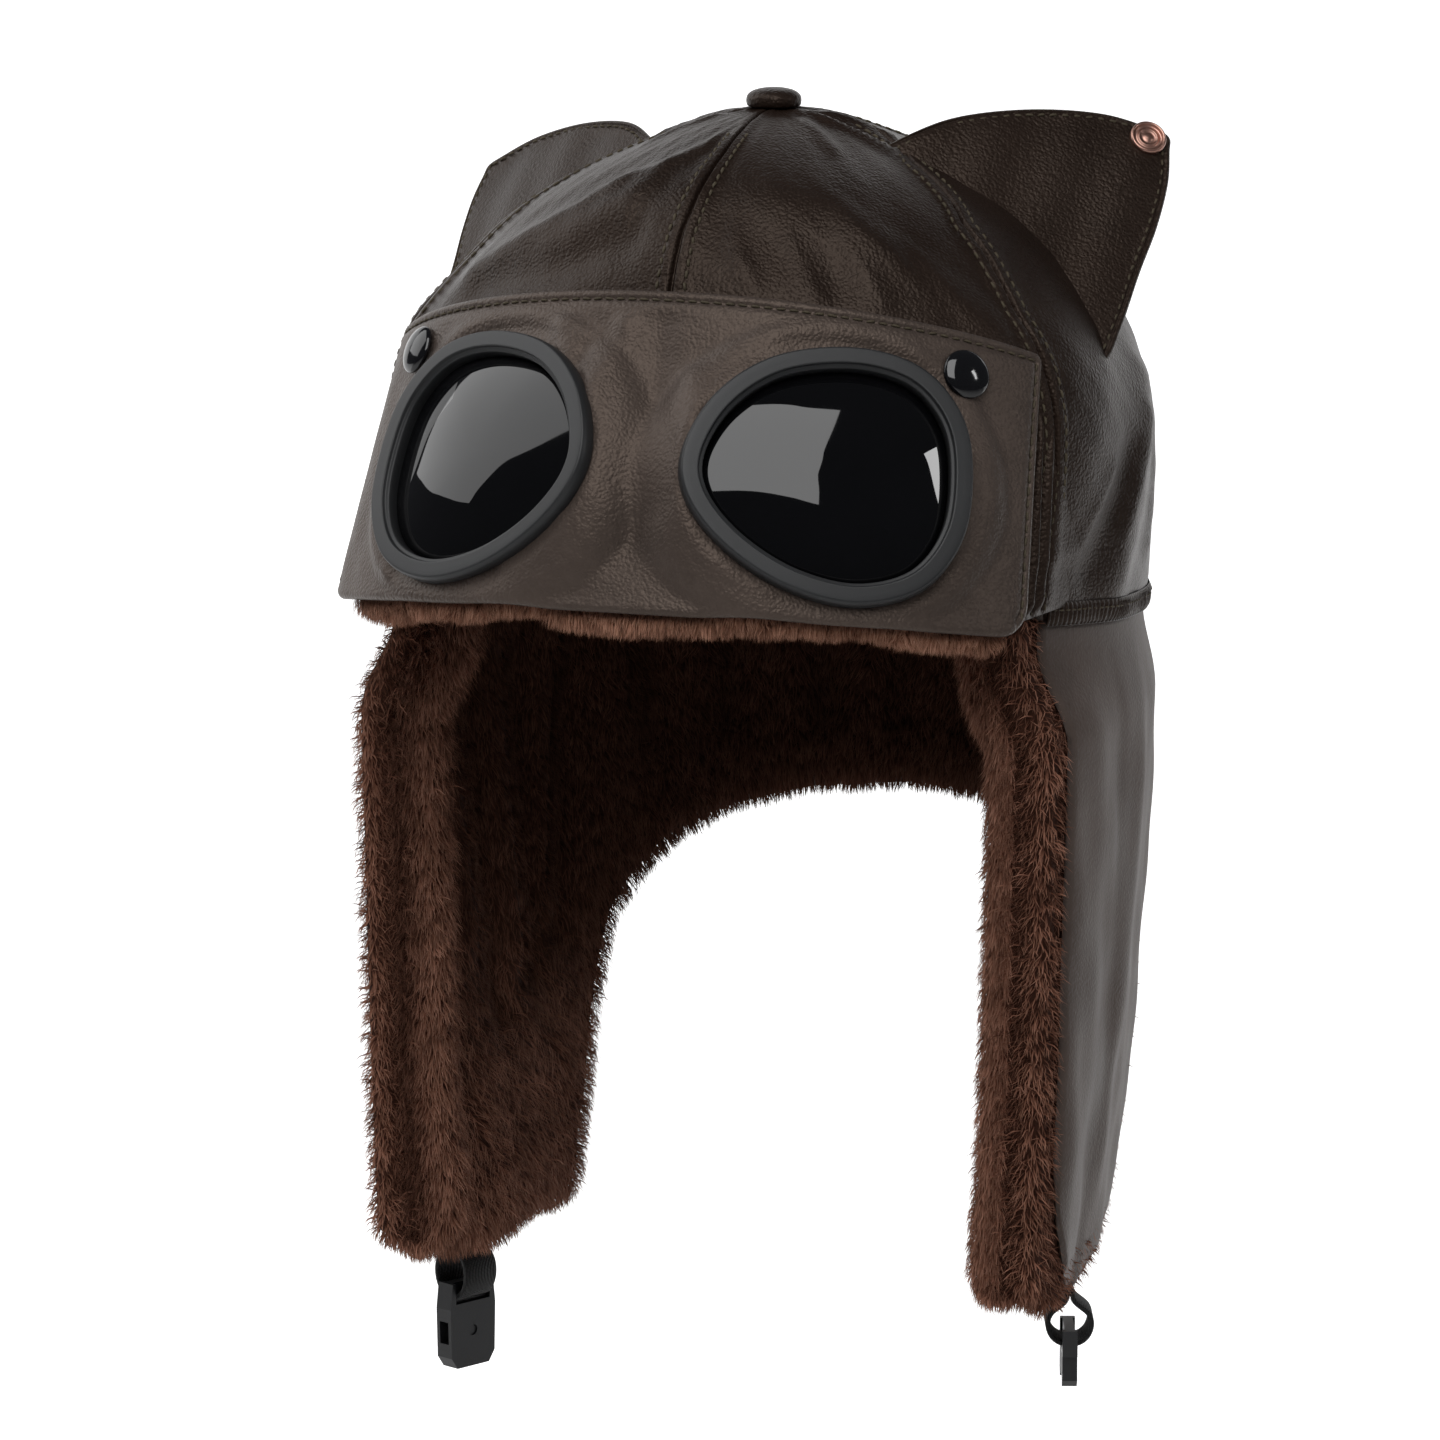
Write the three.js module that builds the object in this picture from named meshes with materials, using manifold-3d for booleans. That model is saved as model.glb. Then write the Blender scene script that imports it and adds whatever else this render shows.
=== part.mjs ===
// Leather flying helmet: a panelled crown with a goggle panel on its front, two pointed wings,
// long ear flaps and a neck curtain lined with deep fur, and a chin strap that hangs open.
// Millimetres, +Z up, the face looks along -Y and +X is the wearer's left side.
// Heights are worked out from the hem at the wearer's side; the last group moves the whole
// helmet so that the origin is where the top of the head sits.
import * as THREE from 'three';
import { mergeVertices } from 'three/addons/utils/BufferGeometryUtils.js';
import Module from 'manifold-3d';

const wasm = await Module();
wasm.setup();

const degrees = Math.PI / 180;

// Crown
const crownHalfWidth = 95;
const crownFrontReach = 108;
const crownBackReach = 115;
const crownHeight = 127.5;
const leatherWall = 2;
const clearance = 0.3;
const frontHemRise = 14;
const buttonRadius = 6.6;
const buttonHeight = 4.2;
const hemBandHeight = 6;
const hemBandThickness = 1.6;
const hemBandBelowHem = 1.5;
const hemBandEdge = 0.55;
const hemGather = 0.12;

// Goggle panel, measured on its outer face: its corners lie in from the crown's sides, and the
// middle of its foot stands out before the crown
const panelWall = 2.4;
const panelBottomInset = 4;
const panelTopInset = 10.5;
const panelBottomStandOff = 10;
const panelBottomHalfWidth = crownHalfWidth - panelBottomInset;
const panelBottomSideReach = 72;
const panelBottomFrontReach = crownFrontReach + panelBottomStandOff;
const panelBottomSideHeight = 7.5;
const panelBottomFrontHeight = 16;
const panelTopHalfWidth = crownHalfWidth - panelTopInset;
const panelTopSideReach = 40;
const panelTopFrontReach = 80;
const panelTopSideHeight = 72.5;
const panelTopFrontHeight = 89.5;
const panelWrapAngle = 65 * degrees;
const panelBulge = 0.5;

// Fullness that draws the crown out to the panel's top corners: how far out, how far it reaches
// above and below the panel's top edge as shares of the crown, and past the corner in degrees
const panelFullness = 5.5;
const fullnessAbove = 0.11;
const fullnessBelow = 0.28;
const fullnessPastCorner = 18;

// Goggles: their middles by shares of the panel, which hangs a little towards the wearer's left
const goggleWidth = 72;
const goggleHeight = 65;
const goggleAcross = 0.405;
const goggleShift = 0.03;
const goggleUp = 0.45;
const goggleTurn = 5 * degrees;
const rimFace = 4;
const rimProud = 4.5;
const rimBehind = 4.2;
const rimStep = 1.6;
const rimFlange = 0.9;
const rimShoulder = 0.5;
const rimSlope = 0.4;
const lensRise = 6;
const lensThickness = 2.2;
const flatMargin = 1.3;

// Pleats between the panel's side and the crown, by shares of the panel
const gussetAcross = 0.93;
const gussetFoot = 0.06;
const gussetHead = 0.84;
const gussetAngle = 72;
const gussetPleat = 1.1;
const gussetPleats = 1.5;
const gussetSeam = 0.5;

// Snaps
const panelSnapRadius = 6.2;
const panelSnapHeight = 2.6;
const panelSnapAcross = 0.75;
const panelSnapUp = 0.85;
const wingSnapRadius = 4.7;
const wingSnapHeight = 2;

// Ear flaps and neck curtain
const flapDrop = 170;
const curtainDrop = 66;
const flapFrontAngle = 66;
const skirtInset = 1;
const skirtFlare = 4;
const hemFlareHeight = 24;
const flapFrontFlare = 6;
const flapLeanFront = 4;
const flapLeanMiddle = 13;
const flapMiddleAngle = 86;
const skirtFoldDepth = 0.55 * leatherWall;
const skirtFoldsPerRadian = 9;
const skirtFoldShift = 0.6;
const columnCrowding = 0.16;

// Fur
const furPile = 10.5;
const furRidge = 1.6;
const lockLength = 8;
const lockWidth = 16;
const lockSpacing = 21;
const furBelowLeather = 2.5;
const frontFurDrop = 6;
const frontFurAcross = 0.9;
const frontFurLocks = 11;
const frontFurFoot = -0.03;
const frontFurLean = 0.35;
const frontFurSway = 0.25;
const lockRootDepth = 2;
const lockDroop = 0.25;
const furEdgeAngle = 5;
const furRoll = 4;
const furTuck = 1.5;
const furFootShare = 0.75;
const furRidgeColumns = 4;
const edgeLockShortest = 0.55;
const innerLockShortest = 0.5;
const innerLockThickness = 5;
const innerLockHang = 0.9;
const innerLockStray = 4;
const furBack = -leatherWall - 3 * clearance;
const furMiddle = -leatherWall - clearance - furPile / 2;

// Locks on the inner face: rows by share of the flap's drop, between two angles from the front.
const innerLockRows = [
  { drop: 0.24, fromAngle: 72, toAngle: 178, count: 5 },
  { drop: 0.46, fromAngle: 70, toAngle: 120, count: 3 },
  { drop: 0.66, fromAngle: 74, toAngle: 114, count: 2 },
  { drop: 0.84, fromAngle: 78, toAngle: 100, count: 1 },
];

// Wings
const wingWall = 2.4;
const wingSpan = 78;
const wingRise = 60;
const wingCurl = 3;
const wingCup = 0.6;
const wingFacet = 24;
const wingSnapSide = 'left';
const wingSnapAlong = 0.48;
const wingSnapOut = 0.89;

// Chin strap ends
const strapWidth = 11;
const strapWall = 1.3;
const strapLoopWidth = 12.4;
const strapForward = 9;
const socketLoopDrop = 17;
const prongLoopDrop = 14;
const buckleWidth = 16;
const buckleThickness = 5.5;
const socketLength = 23;
const prongLength = 15;
const buckleBar = 2.6;
const buckleBarDepth = 2.6;
const strapSlack = 0.5;
const socketTurn = -25 * degrees;
const prongTurn = 20 * degrees;
const prongShare = 0.7;
const prongBase = 1.8;
const slotMargin = 0.5;
const barNeck = 1.2;
const socketSkin = 1.1;
const mouthShare = 0.62;
const mouthDepth = 11;
const windowShare = 0.26;
const windowPlace = 0.42;
const recessRadius = 1.5;
const recessDepth = 0.5;

// Crown sections: height and reaches as shares of the crown's named sizes, hem to apex.
const crownSections = [
  { height: 0.00, side: 0.985, front: 0.965, back: 0.985 },
  { height: 0.14, side: 0.995, front: 0.950, back: 0.995 },
  { height: 0.28, side: 1.000, front: 0.900, back: 1.000 },
  { height: 0.42, side: 0.985, front: 0.835, back: 0.985 },
  { height: 0.55, side: 0.935, front: 0.775, back: 0.940 },
  { height: 0.67, side: 0.840, front: 0.710, back: 0.855 },
  { height: 0.78, side: 0.700, front: 0.640, back: 0.730 },
  { height: 0.87, side: 0.505, front: 0.540, back: 0.570 },
  { height: 0.94, side: 0.295, front: 0.370, back: 0.355 },
  { height: 0.98, side: 0.150, front: 0.200, back: 0.180 },
  { height: 1.00, side: 0.000, front: 0.000, back: 0.000 },
];

// Height of the crown's lower edge, by degrees from the front, as a share of the front rise.
const hemRises = [
  { angle: 0, rise: 1.00 },
  { angle: 50, rise: 0.86 },
  { angle: 66, rise: 0.50 },
  { angle: 90, rise: 0.22 },
  { angle: 115, rise: 0.00 },
  { angle: 180, rise: 0.00 },
];

// Lower edge of flap and curtain, by degrees from the front: 0 is the curtain's drop, 1 the flap's.
const skirtDrops = [
  { angle: 66.0, drop: 0.62 },
  { angle: 67.5, drop: 0.78 },
  { angle: 71.0, drop: 0.90 },
  { angle: 78.0, drop: 0.98 },
  { angle: 86.0, drop: 1.00 },
  { angle: 94.0, drop: 0.98 },
  { angle: 101.0, drop: 0.965 },
  { angle: 108.0, drop: 0.93 },
  { angle: 113.0, drop: 0.87 },
  { angle: 117.0, drop: 0.75 },
  { angle: 120.5, drop: 0.52 },
  { angle: 124.5, drop: 0.31 },
  { angle: 129.0, drop: 0.23 },
  { angle: 136.0, drop: 0.15 },
  { angle: 148.0, drop: 0.07 },
  { angle: 163.0, drop: 0.02 },
  { angle: 180.0, drop: 0.00 },
];

// Folds and dents of the crown: two ends by degrees and height share, width and depth in wall shares.
const crownFolds = [
  { fromAngle: -52, fromHeight: 0.70, toAngle: -18, toHeight: 0.86, width: 3.5, depth: 0.9 },
  { fromAngle: -44, fromHeight: 0.66, toAngle: -12, toHeight: 0.78, width: 3.0, depth: -0.8 },
  { fromAngle: 8, fromHeight: 0.84, toAngle: 30, toHeight: 0.74, width: 4.5, depth: -1.0 },
  { fromAngle: 40, fromHeight: 0.80, toAngle: 56, toHeight: 0.62, width: 3.5, depth: 0.8 },
  { fromAngle: 84, fromHeight: 0.10, toAngle: 100, toHeight: 0.46, width: 4.0, depth: 1.1 },
  { fromAngle: 76, fromHeight: 0.14, toAngle: 88, toHeight: 0.34, width: 3.0, depth: -0.8 },
  { fromAngle: -84, fromHeight: 0.12, toAngle: -100, toHeight: 0.44, width: 4.0, depth: 1.0 },
  { fromAngle: 150, fromHeight: 0.20, toAngle: 168, toHeight: 0.50, width: 5.0, depth: -1.0 },
  { fromAngle: -148, fromHeight: 0.24, toAngle: -170, toHeight: 0.46, width: 5.0, depth: 0.9 },
];

// Half outline of a goggle round its middle, as shares of its half width and half height.
// The first point is on the outer side, then over the top to the bridge and back underneath.
const goggleOutline = [
  { across: 1.00, up: 0.10 },
  { across: 0.93, up: 0.52 },
  { across: 0.68, up: 0.85 },
  { across: 0.25, up: 1.00 },
  { across: -0.28, up: 0.95 },
  { across: -0.70, up: 0.68 },
  { across: -0.96, up: 0.26 },
  { across: -0.97, up: -0.12 },
  { across: -0.74, up: -0.52 },
  { across: -0.34, up: -0.85 },
  { across: 0.14, up: -1.00 },
  { across: 0.60, up: -0.88 },
  { across: 0.90, up: -0.48 },
];

// Where each wing's root runs on the crown and where its tip points, across, forward and up, then
// how far the tip leans along the root and reaches out, as shares of the wing's rise. The right
// wing hangs lower than the left one.
const wingPlaces = {
  left: { inner: [33, 0, 119], outer: [91, 8, 68], tip: [94, -38, 115], lean: 0, reach: 1 },
  right: { inner: [34, -2, 117], outer: [89, 3, 68], tip: [92, -38, 106], lean: 0.15, reach: 0.84 },
};

// Section of the front fur from the panel's back round its foot to the crown: level on the panel
// and how far from the panel towards the crown.
const frontFurSection = [
  { level: 0.26, back: 0.00 },
  { level: 0.10, back: 0.00 },
  { level: -0.01, back: 0.00 },
  { level: -0.07, back: 0.45 },
  { level: -0.02, back: 1.00 },
  { level: 0.12, back: 1.00 },
  { level: 0.24, back: 1.00 },
];

// Wing outline: along its root as shares of the span, out from the root as shares of the rise.
const wingOutline = [
  { along: -0.03, out: -0.25 },
  { along: 0.00, out: 0.08 },
  { along: 0.05, out: 0.32 },
  { along: 0.17, out: 0.60 },
  { along: 0.32, out: 0.84 },
  { along: 0.46, out: 0.97 },
  { along: 0.51, out: 1.00 },
  { along: 0.55, out: 0.95 },
  { along: 0.64, out: 0.82 },
  { along: 0.74, out: 0.62 },
  { along: 0.83, out: 0.40 },
  { along: 0.94, out: 0.15 },
  { along: 1.00, out: -0.02 },
  { along: 1.00, out: -0.25 },
];

// Turned profiles from the middle of the back round the edge to the middle of the front:
// out as a share of the radius, up as a share of the height.
const buttonProfile = [
  { out: 0.00, up: 0.00 },
  { out: 0.86, up: 0.00 },
  { out: 1.00, up: 0.35 },
  { out: 0.90, up: 0.70 },
  { out: 0.50, up: 0.95 },
  { out: 0.00, up: 1.00 },
];
const domedSnapProfile = [
  { out: 0.00, up: 0.00 },
  { out: 0.92, up: 0.00 },
  { out: 1.00, up: 0.30 },
  { out: 0.86, up: 0.75 },
  { out: 0.50, up: 0.96 },
  { out: 0.00, up: 1.00 },
];
const rimmedSnapProfile = [
  { out: 0.00, up: 0.00 },
  { out: 0.92, up: 0.00 },
  { out: 1.00, up: 0.30 },
  { out: 0.86, up: 0.75 },
  { out: 0.76, up: 1.00 },
  { out: 0.66, up: 0.80 },
  { out: 0.00, up: 0.72 },
];

// Loop outline across and down, as shares of its half width and drop. The hole starts at the
// third row.
const loopOutline = [
  { across: 0.16, down: 0.00 },
  { across: 0.30, down: 0.16 },
  { across: 0.86, down: 0.38 },
  { across: 1.00, down: 0.62 },
  { across: 0.80, down: 0.86 },
  { across: 0.34, down: 1.00 },
];

// Half outline of the socket half of the buckle, top to foot: across as a share of its half
// width and down as a share of its length.
const socketOutline = [
  { across: 0.90, down: 0.00 },
  { across: 1.00, down: 0.30 },
  { across: 0.96, down: 0.87 },
  { across: 0.70, down: 1.00 },
];

// Half outline of the prong half from its shoulder round the outer prong to the middle one:
// across as a share of its half width, down as a share of the prongs' length.
const prongOutline = [
  { across: 1.00, down: 0.00 },
  { across: 0.86, down: 0.00 },
  { across: 0.92, down: 0.77 },
  { across: 0.66, down: 1.00 },
  { across: 0.42, down: 0.72 },
  { across: 0.50, down: 0.00 },
  { across: 0.20, down: 0.00 },
  { across: 0.14, down: 0.77 },
];

const leatherCrown = { color: 0x3c322c, roughness: 0.5, metalness: 0 };
const leatherPanel = { color: 0x554c46, roughness: 0.48, metalness: 0 };
const leatherFlap = { color: 0x5f5855, roughness: 0.5, metalness: 0 };
const brownFur = { color: 0x5f3c2d, roughness: 0.95, metalness: 0 };
const blackPlastic = { color: 0x2d2f32, roughness: 0.45, metalness: 0 };
const blackGlass = { color: 0x050506, roughness: 0.05, metalness: 0 };
const blackLacquer = { color: 0x0a0a0b, roughness: 0.15, metalness: 0.3 };
const copper = { color: 0x966e64, roughness: 0.3, metalness: 1 };
const blackWebbing = { color: 0x191818, roughness: 0.9, metalness: 0 };

const discSides = 14;
const up = new THREE.Vector3(0, 0, 1);

// The wearer's two sides.
const sides = [
  { name: 'right', sign: -1 },
  { name: 'left', sign: 1 },
];

function smoothstep(value) {
  const t = Math.min(Math.max(value, 0), 1);
  return t * t * (3 - 2 * t);
}

// Smooth value of one column of a table at a row number that may lie between rows.
function columnAtRow(table, column, row) {
  const last = table.length - 1;
  const i = Math.min(Math.floor(row), last - 1);
  const t = row - i;
  const at = (k) => table[Math.min(Math.max(k, 0), last)][column];
  const slopeHere = (at(i + 1) - at(i - 1)) / 2;
  const slopeNext = (at(i + 2) - at(i)) / 2;
  const rise = at(i + 1) - at(i);
  return at(i) + t * (slopeHere + t * (3 * rise - 2 * slopeHere - slopeNext
    + t * (slopeHere + slopeNext - 2 * rise)));
}

// Value of one column at a place along another column, straight between rows.
function columnAt(table, key, place, column) {
  let i = 0;
  while (i < table.length - 2 && table[i + 1][key] < place) {
    i += 1;
  }
  const from = table[i];
  const to = table[i + 1];
  const t = Math.min(Math.max((place - from[key]) / (to[key] - from[key]), 0), 1);
  return from[column] + t * (to[column] - from[column]);
}

function hemHeight(angle) {
  return frontHemRise * columnAt(hemRises, 'angle', Math.abs(angle) / degrees, 'rise');
}

// How far the crown is drawn out to meet the top edge of the goggle panel.
function drawnOut(angle, height) {
  const side = Math.abs(angle) / degrees;
  const toCorner = smoothstep(side / flapFrontAngle);
  const edgeHeight = panelTopFrontHeight + toCorner * (panelTopSideHeight - panelTopFrontHeight);
  const away = (height - edgeHeight) / crownHeight;
  const reach = away > 0 ? fullnessAbove : fullnessBelow;
  const pastCorner = Math.max(side - flapFrontAngle, 0) / fullnessPastCorner;
  return panelFullness * toCorner * Math.exp(-pastCorner * pastCorner)
    * Math.exp(-(away / reach) * (away / reach));
}

function foldRelief(angle, heightShare) {
  let relief = 0;
  for (const fold of crownFolds) {
    const alongX = (fold.toAngle - fold.fromAngle) * degrees * crownHalfWidth;
    const alongZ = (fold.toHeight - fold.fromHeight) * crownHeight;
    let offX = (angle / degrees - fold.fromAngle) * degrees * crownHalfWidth;
    let offZ = (heightShare - fold.fromHeight) * crownHeight;
    const length2 = alongX * alongX + alongZ * alongZ;
    const t = Math.min(Math.max((offX * alongX + offZ * alongZ) / length2, 0), 1);
    offX -= t * alongX;
    offZ -= t * alongZ;
    const width = fold.width * leatherWall;
    relief += fold.depth * leatherWall * Math.exp(-(offX * offX + offZ * offZ) / (width * width));
  }
  return relief;
}

// Bare form of the crown at an angle from the front and a row of the section table.
function crownForm(angle, row) {
  const heightShare = columnAtRow(crownSections, 'height', row);
  const side = crownHalfWidth * columnAtRow(crownSections, 'side', row);
  const front = crownFrontReach * columnAtRow(crownSections, 'front', row);
  const back = crownBackReach * columnAtRow(crownSections, 'back', row);
  const height = crownHeight * heightShare;
  const out = drawnOut(angle, height);
  const forward = Math.cos(angle) > 0 ? front : back;
  const grow = side > 0 ? 1 + out / crownHalfWidth : 1;
  return new THREE.Vector3(
    side * grow * Math.sin(angle),
    -forward * grow * Math.cos(angle),
    height,
  );
}

// Unit normal of a surface given by a function of two numbers.
function surfaceNormal(surface, a, b, stepA, stepB) {
  const alongA = surface(a + stepA, b).sub(surface(a - stepA, b));
  const alongB = surface(a, b + stepB).sub(surface(a, b - stepB));
  return alongA.cross(alongB).normalize();
}

const lastRow = crownSections.length - 1;

// Point of the crown's leather, a distance out from its outer face.
function crownPoint(angle, row, outward) {
  if (row > lastRow - 0.01) {
    return new THREE.Vector3(0, 0, crownHeight + outward);
  }
  const safeRow = Math.min(Math.max(row, 0.05), lastRow - 0.06);
  const normal = surfaceNormal(crownForm, angle, safeRow, 0.02, 0.05);
  const share = columnAtRow(crownSections, 'height', row);
  return crownForm(angle, row).addScaledVector(normal, outward + foldRelief(angle, share));
}

// Row of the section table at a height.
function rowAtHeight(height) {
  let low = 0;
  let high = lastRow;
  for (let i = 0; i < 30; i += 1) {
    const middle = (low + high) / 2;
    if (crownHeight * columnAtRow(crownSections, 'height', middle) < height) {
      low = middle;
    } else {
      high = middle;
    }
  }
  return (low + high) / 2;
}

function skirtDrop(angle) {
  const share = columnAt(skirtDrops, 'angle', Math.abs(angle) / degrees, 'drop');
  return curtainDrop + share * (flapDrop - curtainDrop);
}

// Outer form of flap and curtain at an angle and a height below the hem.
function skirtForm(angle, height) {
  const side = Math.abs(angle) / degrees;
  const below = Math.max(-height, 0) / flapDrop;
  const toMiddle = smoothstep((side - flapFrontAngle) / (flapMiddleAngle - flapFrontAngle));
  const lean = below * below * (flapLeanFront + toMiddle * (flapLeanMiddle - flapLeanFront));
  const nearHem = smoothstep(below * flapDrop / hemFlareHeight);
  const frontFlare = flapFrontFlare * nearHem * (1 - toMiddle);
  const flare = skirtFlare * nearHem;
  const hemSide = crownHalfWidth * crownSections[0].side - skirtInset;
  const hemFront = crownFrontReach * crownSections[0].front - skirtInset;
  const hemBack = crownBackReach * crownSections[0].back - skirtInset;
  const forward = Math.cos(angle) > 0 ? hemFront : hemBack;
  return new THREE.Vector3(
    Math.sin(angle) * (hemSide + flare + frontFlare - lean),
    -Math.cos(angle) * (forward + flare),
    height,
  );
}

// Long folds that run down the flaps and the curtain.
function skirtRelief(angle, height) {
  const below = Math.min(Math.max(-height / curtainDrop, 0), 1);
  return skirtFoldDepth * below * Math.sin(angle * skirtFoldsPerRadian + skirtFoldShift);
}

function skirtPoint(angle, height, outward) {
  const normal = surfaceNormal(skirtForm, angle, height, 0.02, 1);
  return skirtForm(angle, height).addScaledVector(normal, outward + skirtRelief(angle, height));
}

// Closed wall between two grids of points. The last row may close on one point.
function wallGeometry(columns, rows, outside, inside, { around = false, apex = false } = {}) {
  const positions = [];
  const indices = [];
  const push = (point) => {
    positions.push(point.x, point.y, point.z);
    return positions.length / 3 - 1;
  };
  const makeGrid = (pointAt) => {
    const grid = [];
    const apexIndex = apex ? push(pointAt(0, rows)) : -1;
    for (let i = 0; i < columns + (around ? 0 : 1); i += 1) {
      const line = [];
      for (let j = 0; j <= rows; j += 1) {
        line.push(apex && j === rows ? apexIndex : push(pointAt(i, j)));
      }
      grid.push(line);
    }
    if (around) {
      grid.push(grid[0]);
    }
    return grid;
  };
  const face = (a, b, c) => {
    if (a !== b && b !== c && c !== a) {
      indices.push(a, b, c);
    }
  };
  const quad = (a, b, c, d) => {
    face(a, b, c);
    face(a, c, d);
  };
  const outer = makeGrid(outside);
  const inner = makeGrid(inside);
  for (let i = 0; i < columns; i += 1) {
    for (let j = 0; j < rows; j += 1) {
      quad(outer[i][j], outer[i + 1][j], outer[i + 1][j + 1], outer[i][j + 1]);
      quad(inner[i][j], inner[i][j + 1], inner[i + 1][j + 1], inner[i + 1][j]);
    }
    quad(outer[i][0], inner[i][0], inner[i + 1][0], outer[i + 1][0]);
    if (!apex) {
      quad(outer[i][rows], outer[i + 1][rows], inner[i + 1][rows], inner[i][rows]);
    }
  }
  if (!around) {
    for (let j = 0; j < rows; j += 1) {
      quad(outer[0][j], outer[0][j + 1], inner[0][j + 1], inner[0][j]);
      quad(outer[columns][j], inner[columns][j], inner[columns][j + 1], outer[columns][j + 1]);
    }
  }
  return outwardGeometry(positions, indices);
}

// Geometry whose faces point out, whichever way round its triangles were given.
function outwardGeometry(positions, indices) {
  let volume = 0;
  const corner = (k) => new THREE.Vector3().fromArray(positions, 3 * k);
  for (let i = 0; i < indices.length; i += 3) {
    const a = corner(indices[i]);
    const b = corner(indices[i + 1]);
    volume += a.dot(b.cross(corner(indices[i + 2])));
  }
  const turned = volume < 0 ? indices.slice().reverse() : indices;
  const geometry = new THREE.BufferGeometry();
  geometry.setAttribute('position', new THREE.Float32BufferAttribute(positions, 3));
  geometry.setIndex(turned);
  geometry.computeVertexNormals();
  return geometry;
}

function solidOf(geometry, matrix = null) {
  const bare = geometry.clone();
  bare.deleteAttribute('normal');
  bare.deleteAttribute('uv');
  if (matrix) {
    bare.applyMatrix4(matrix);
  }
  const merged = mergeVertices(bare, 1e-4);
  const mesh = new wasm.Mesh({
    numProp: 3,
    vertProperties: new Float32Array(merged.attributes.position.array),
    triVerts: new Uint32Array(merged.index.array),
  });
  mesh.merge();
  return new wasm.Manifold(mesh);
}

function geometryOf(solid) {
  const mesh = solid.getMesh();
  const geometry = new THREE.BufferGeometry();
  geometry.setAttribute('position', new THREE.Float32BufferAttribute(mesh.vertProperties, 3));
  geometry.setIndex(Array.from(mesh.triVerts));
  geometry.computeVertexNormals();
  return geometry;
}

// Disc turned from a profile round the Z axis.
function turnedDisc(profile, radius, height) {
  const points = profile.map((row) => new THREE.Vector2(row.out * radius, row.up * height));
  return new THREE.LatheGeometry(points, discSides).rotateX(Math.PI / 2);
}

const helmet = new THREE.Group();

function addPiece(name, geometry, finish) {
  const mesh = new THREE.Mesh(geometry, new THREE.MeshStandardMaterial(finish));
  mesh.name = name;
  helmet.add(mesh);
  return mesh;
}

// Crown grid shared by the leather and the lining, so that their faces run parallel.
const crownColumns = 36;
const crownRows = 10;

function crownAngle(column) {
  return -Math.PI + 2 * Math.PI * column / crownColumns;
}

function crownGridPoint(column, step, outward, below = 0) {
  const angle = crownAngle(column);
  const firstRow = rowAtHeight(hemHeight(angle));
  const share = step / crownRows;
  const point = crownPoint(angle, firstRow + (lastRow - firstRow) * share, outward);
  if (step === 0) {
    point.z -= below;
  }
  return point;
}

function crownShell(outerOffset, innerOffset, below = 0) {
  return wallGeometry(
    crownColumns,
    crownRows,
    (i, j) => crownGridPoint(i, j, outerOffset, below),
    (i, j) => crownGridPoint(i, j, innerOffset, below),
    { around: true, apex: true },
  );
}

// The crown's leather with the clearance round it, to cut its neighbours back with.
const grownCrown = solidOf(crownShell(clearance, -leatherWall - clearance, clearance));

function makeCrown() {
  addPiece('crown', crownShell(0, -leatherWall), leatherCrown);
  const button = turnedDisc(buttonProfile, buttonRadius, buttonHeight);
  button.translate(0, 0, crownHeight + clearance);
  addPiece('crown_button', button, leatherCrown);
}

// Gathered band round the crown's lower edge, from one flap's front over the back to the other.
function hemBandShell(grow) {
  const columns = 40;
  const rows = 2;
  const endAngle = flapFrontAngle * degrees - grow / crownHalfWidth;
  const angleAt = (i) => endAngle + 2 * (Math.PI - endAngle) * i / columns;
  const signed = (angle) => (angle > Math.PI ? angle - 2 * Math.PI : angle);
  const bandPoint = (i, j, outward) => {
    const angle = signed(angleAt(i));
    const foot = hemHeight(angle) - hemBandBelowHem - grow;
    const height = foot + (hemBandHeight + 2 * grow) * j / rows;
    const point = crownPoint(angle, rowAtHeight(Math.max(height, 0)), outward);
    point.z = height;
    return point;
  };
  const swell = (i, j) => (j > 0 && j < rows ? 1 : hemBandEdge) + hemGather * (i % 2);
  return wallGeometry(
    columns,
    rows,
    (i, j) => bandPoint(i, j, 2 * clearance + hemBandThickness * swell(i, j) + grow),
    (i, j) => bandPoint(i, j, 2 * clearance - grow),
  );
}

// Ear flaps and neck curtain: columns run from one flap's front edge round the back.
const skirtColumns = 40;
const skirtRows = 6;

function skirtAngle(column, columns = skirtColumns, frontAngle = flapFrontAngle) {
  const side = column * 2 < columns ? 1 : -1;
  const rear = 1 - Math.abs(2 * column / columns - 1);
  const crowded = rear - columnCrowding * Math.sin(2 * Math.PI * rear) / 2;
  return side * (frontAngle + (180 - frontAngle) * crowded) * degrees;
}

function skirtGridPoint(column, step, outward, settings) {
  const { below = 0, top = -clearance, frontAngle = flapFrontAngle, columns = skirtColumns } = settings;
  const angle = skirtAngle(column, columns, frontAngle);
  const foot = -skirtDrop(angle) - below;
  const head = hemHeight(angle) + top;
  return skirtPoint(angle, foot + (head - foot) * step / skirtRows, outward);
}

function skirtShell(outerOffset, innerOffset, settings = {}) {
  const columns = settings.columns ?? skirtColumns;
  return wallGeometry(
    columns,
    skirtRows,
    (i, j) => skirtGridPoint(i, j, outerOffset, settings),
    (i, j) => skirtGridPoint(i, j, innerOffset, settings),
  );
}

function makeSkirt() {
  addPiece('flap_skirt', skirtShell(0, -leatherWall), leatherFlap);
}

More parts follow.
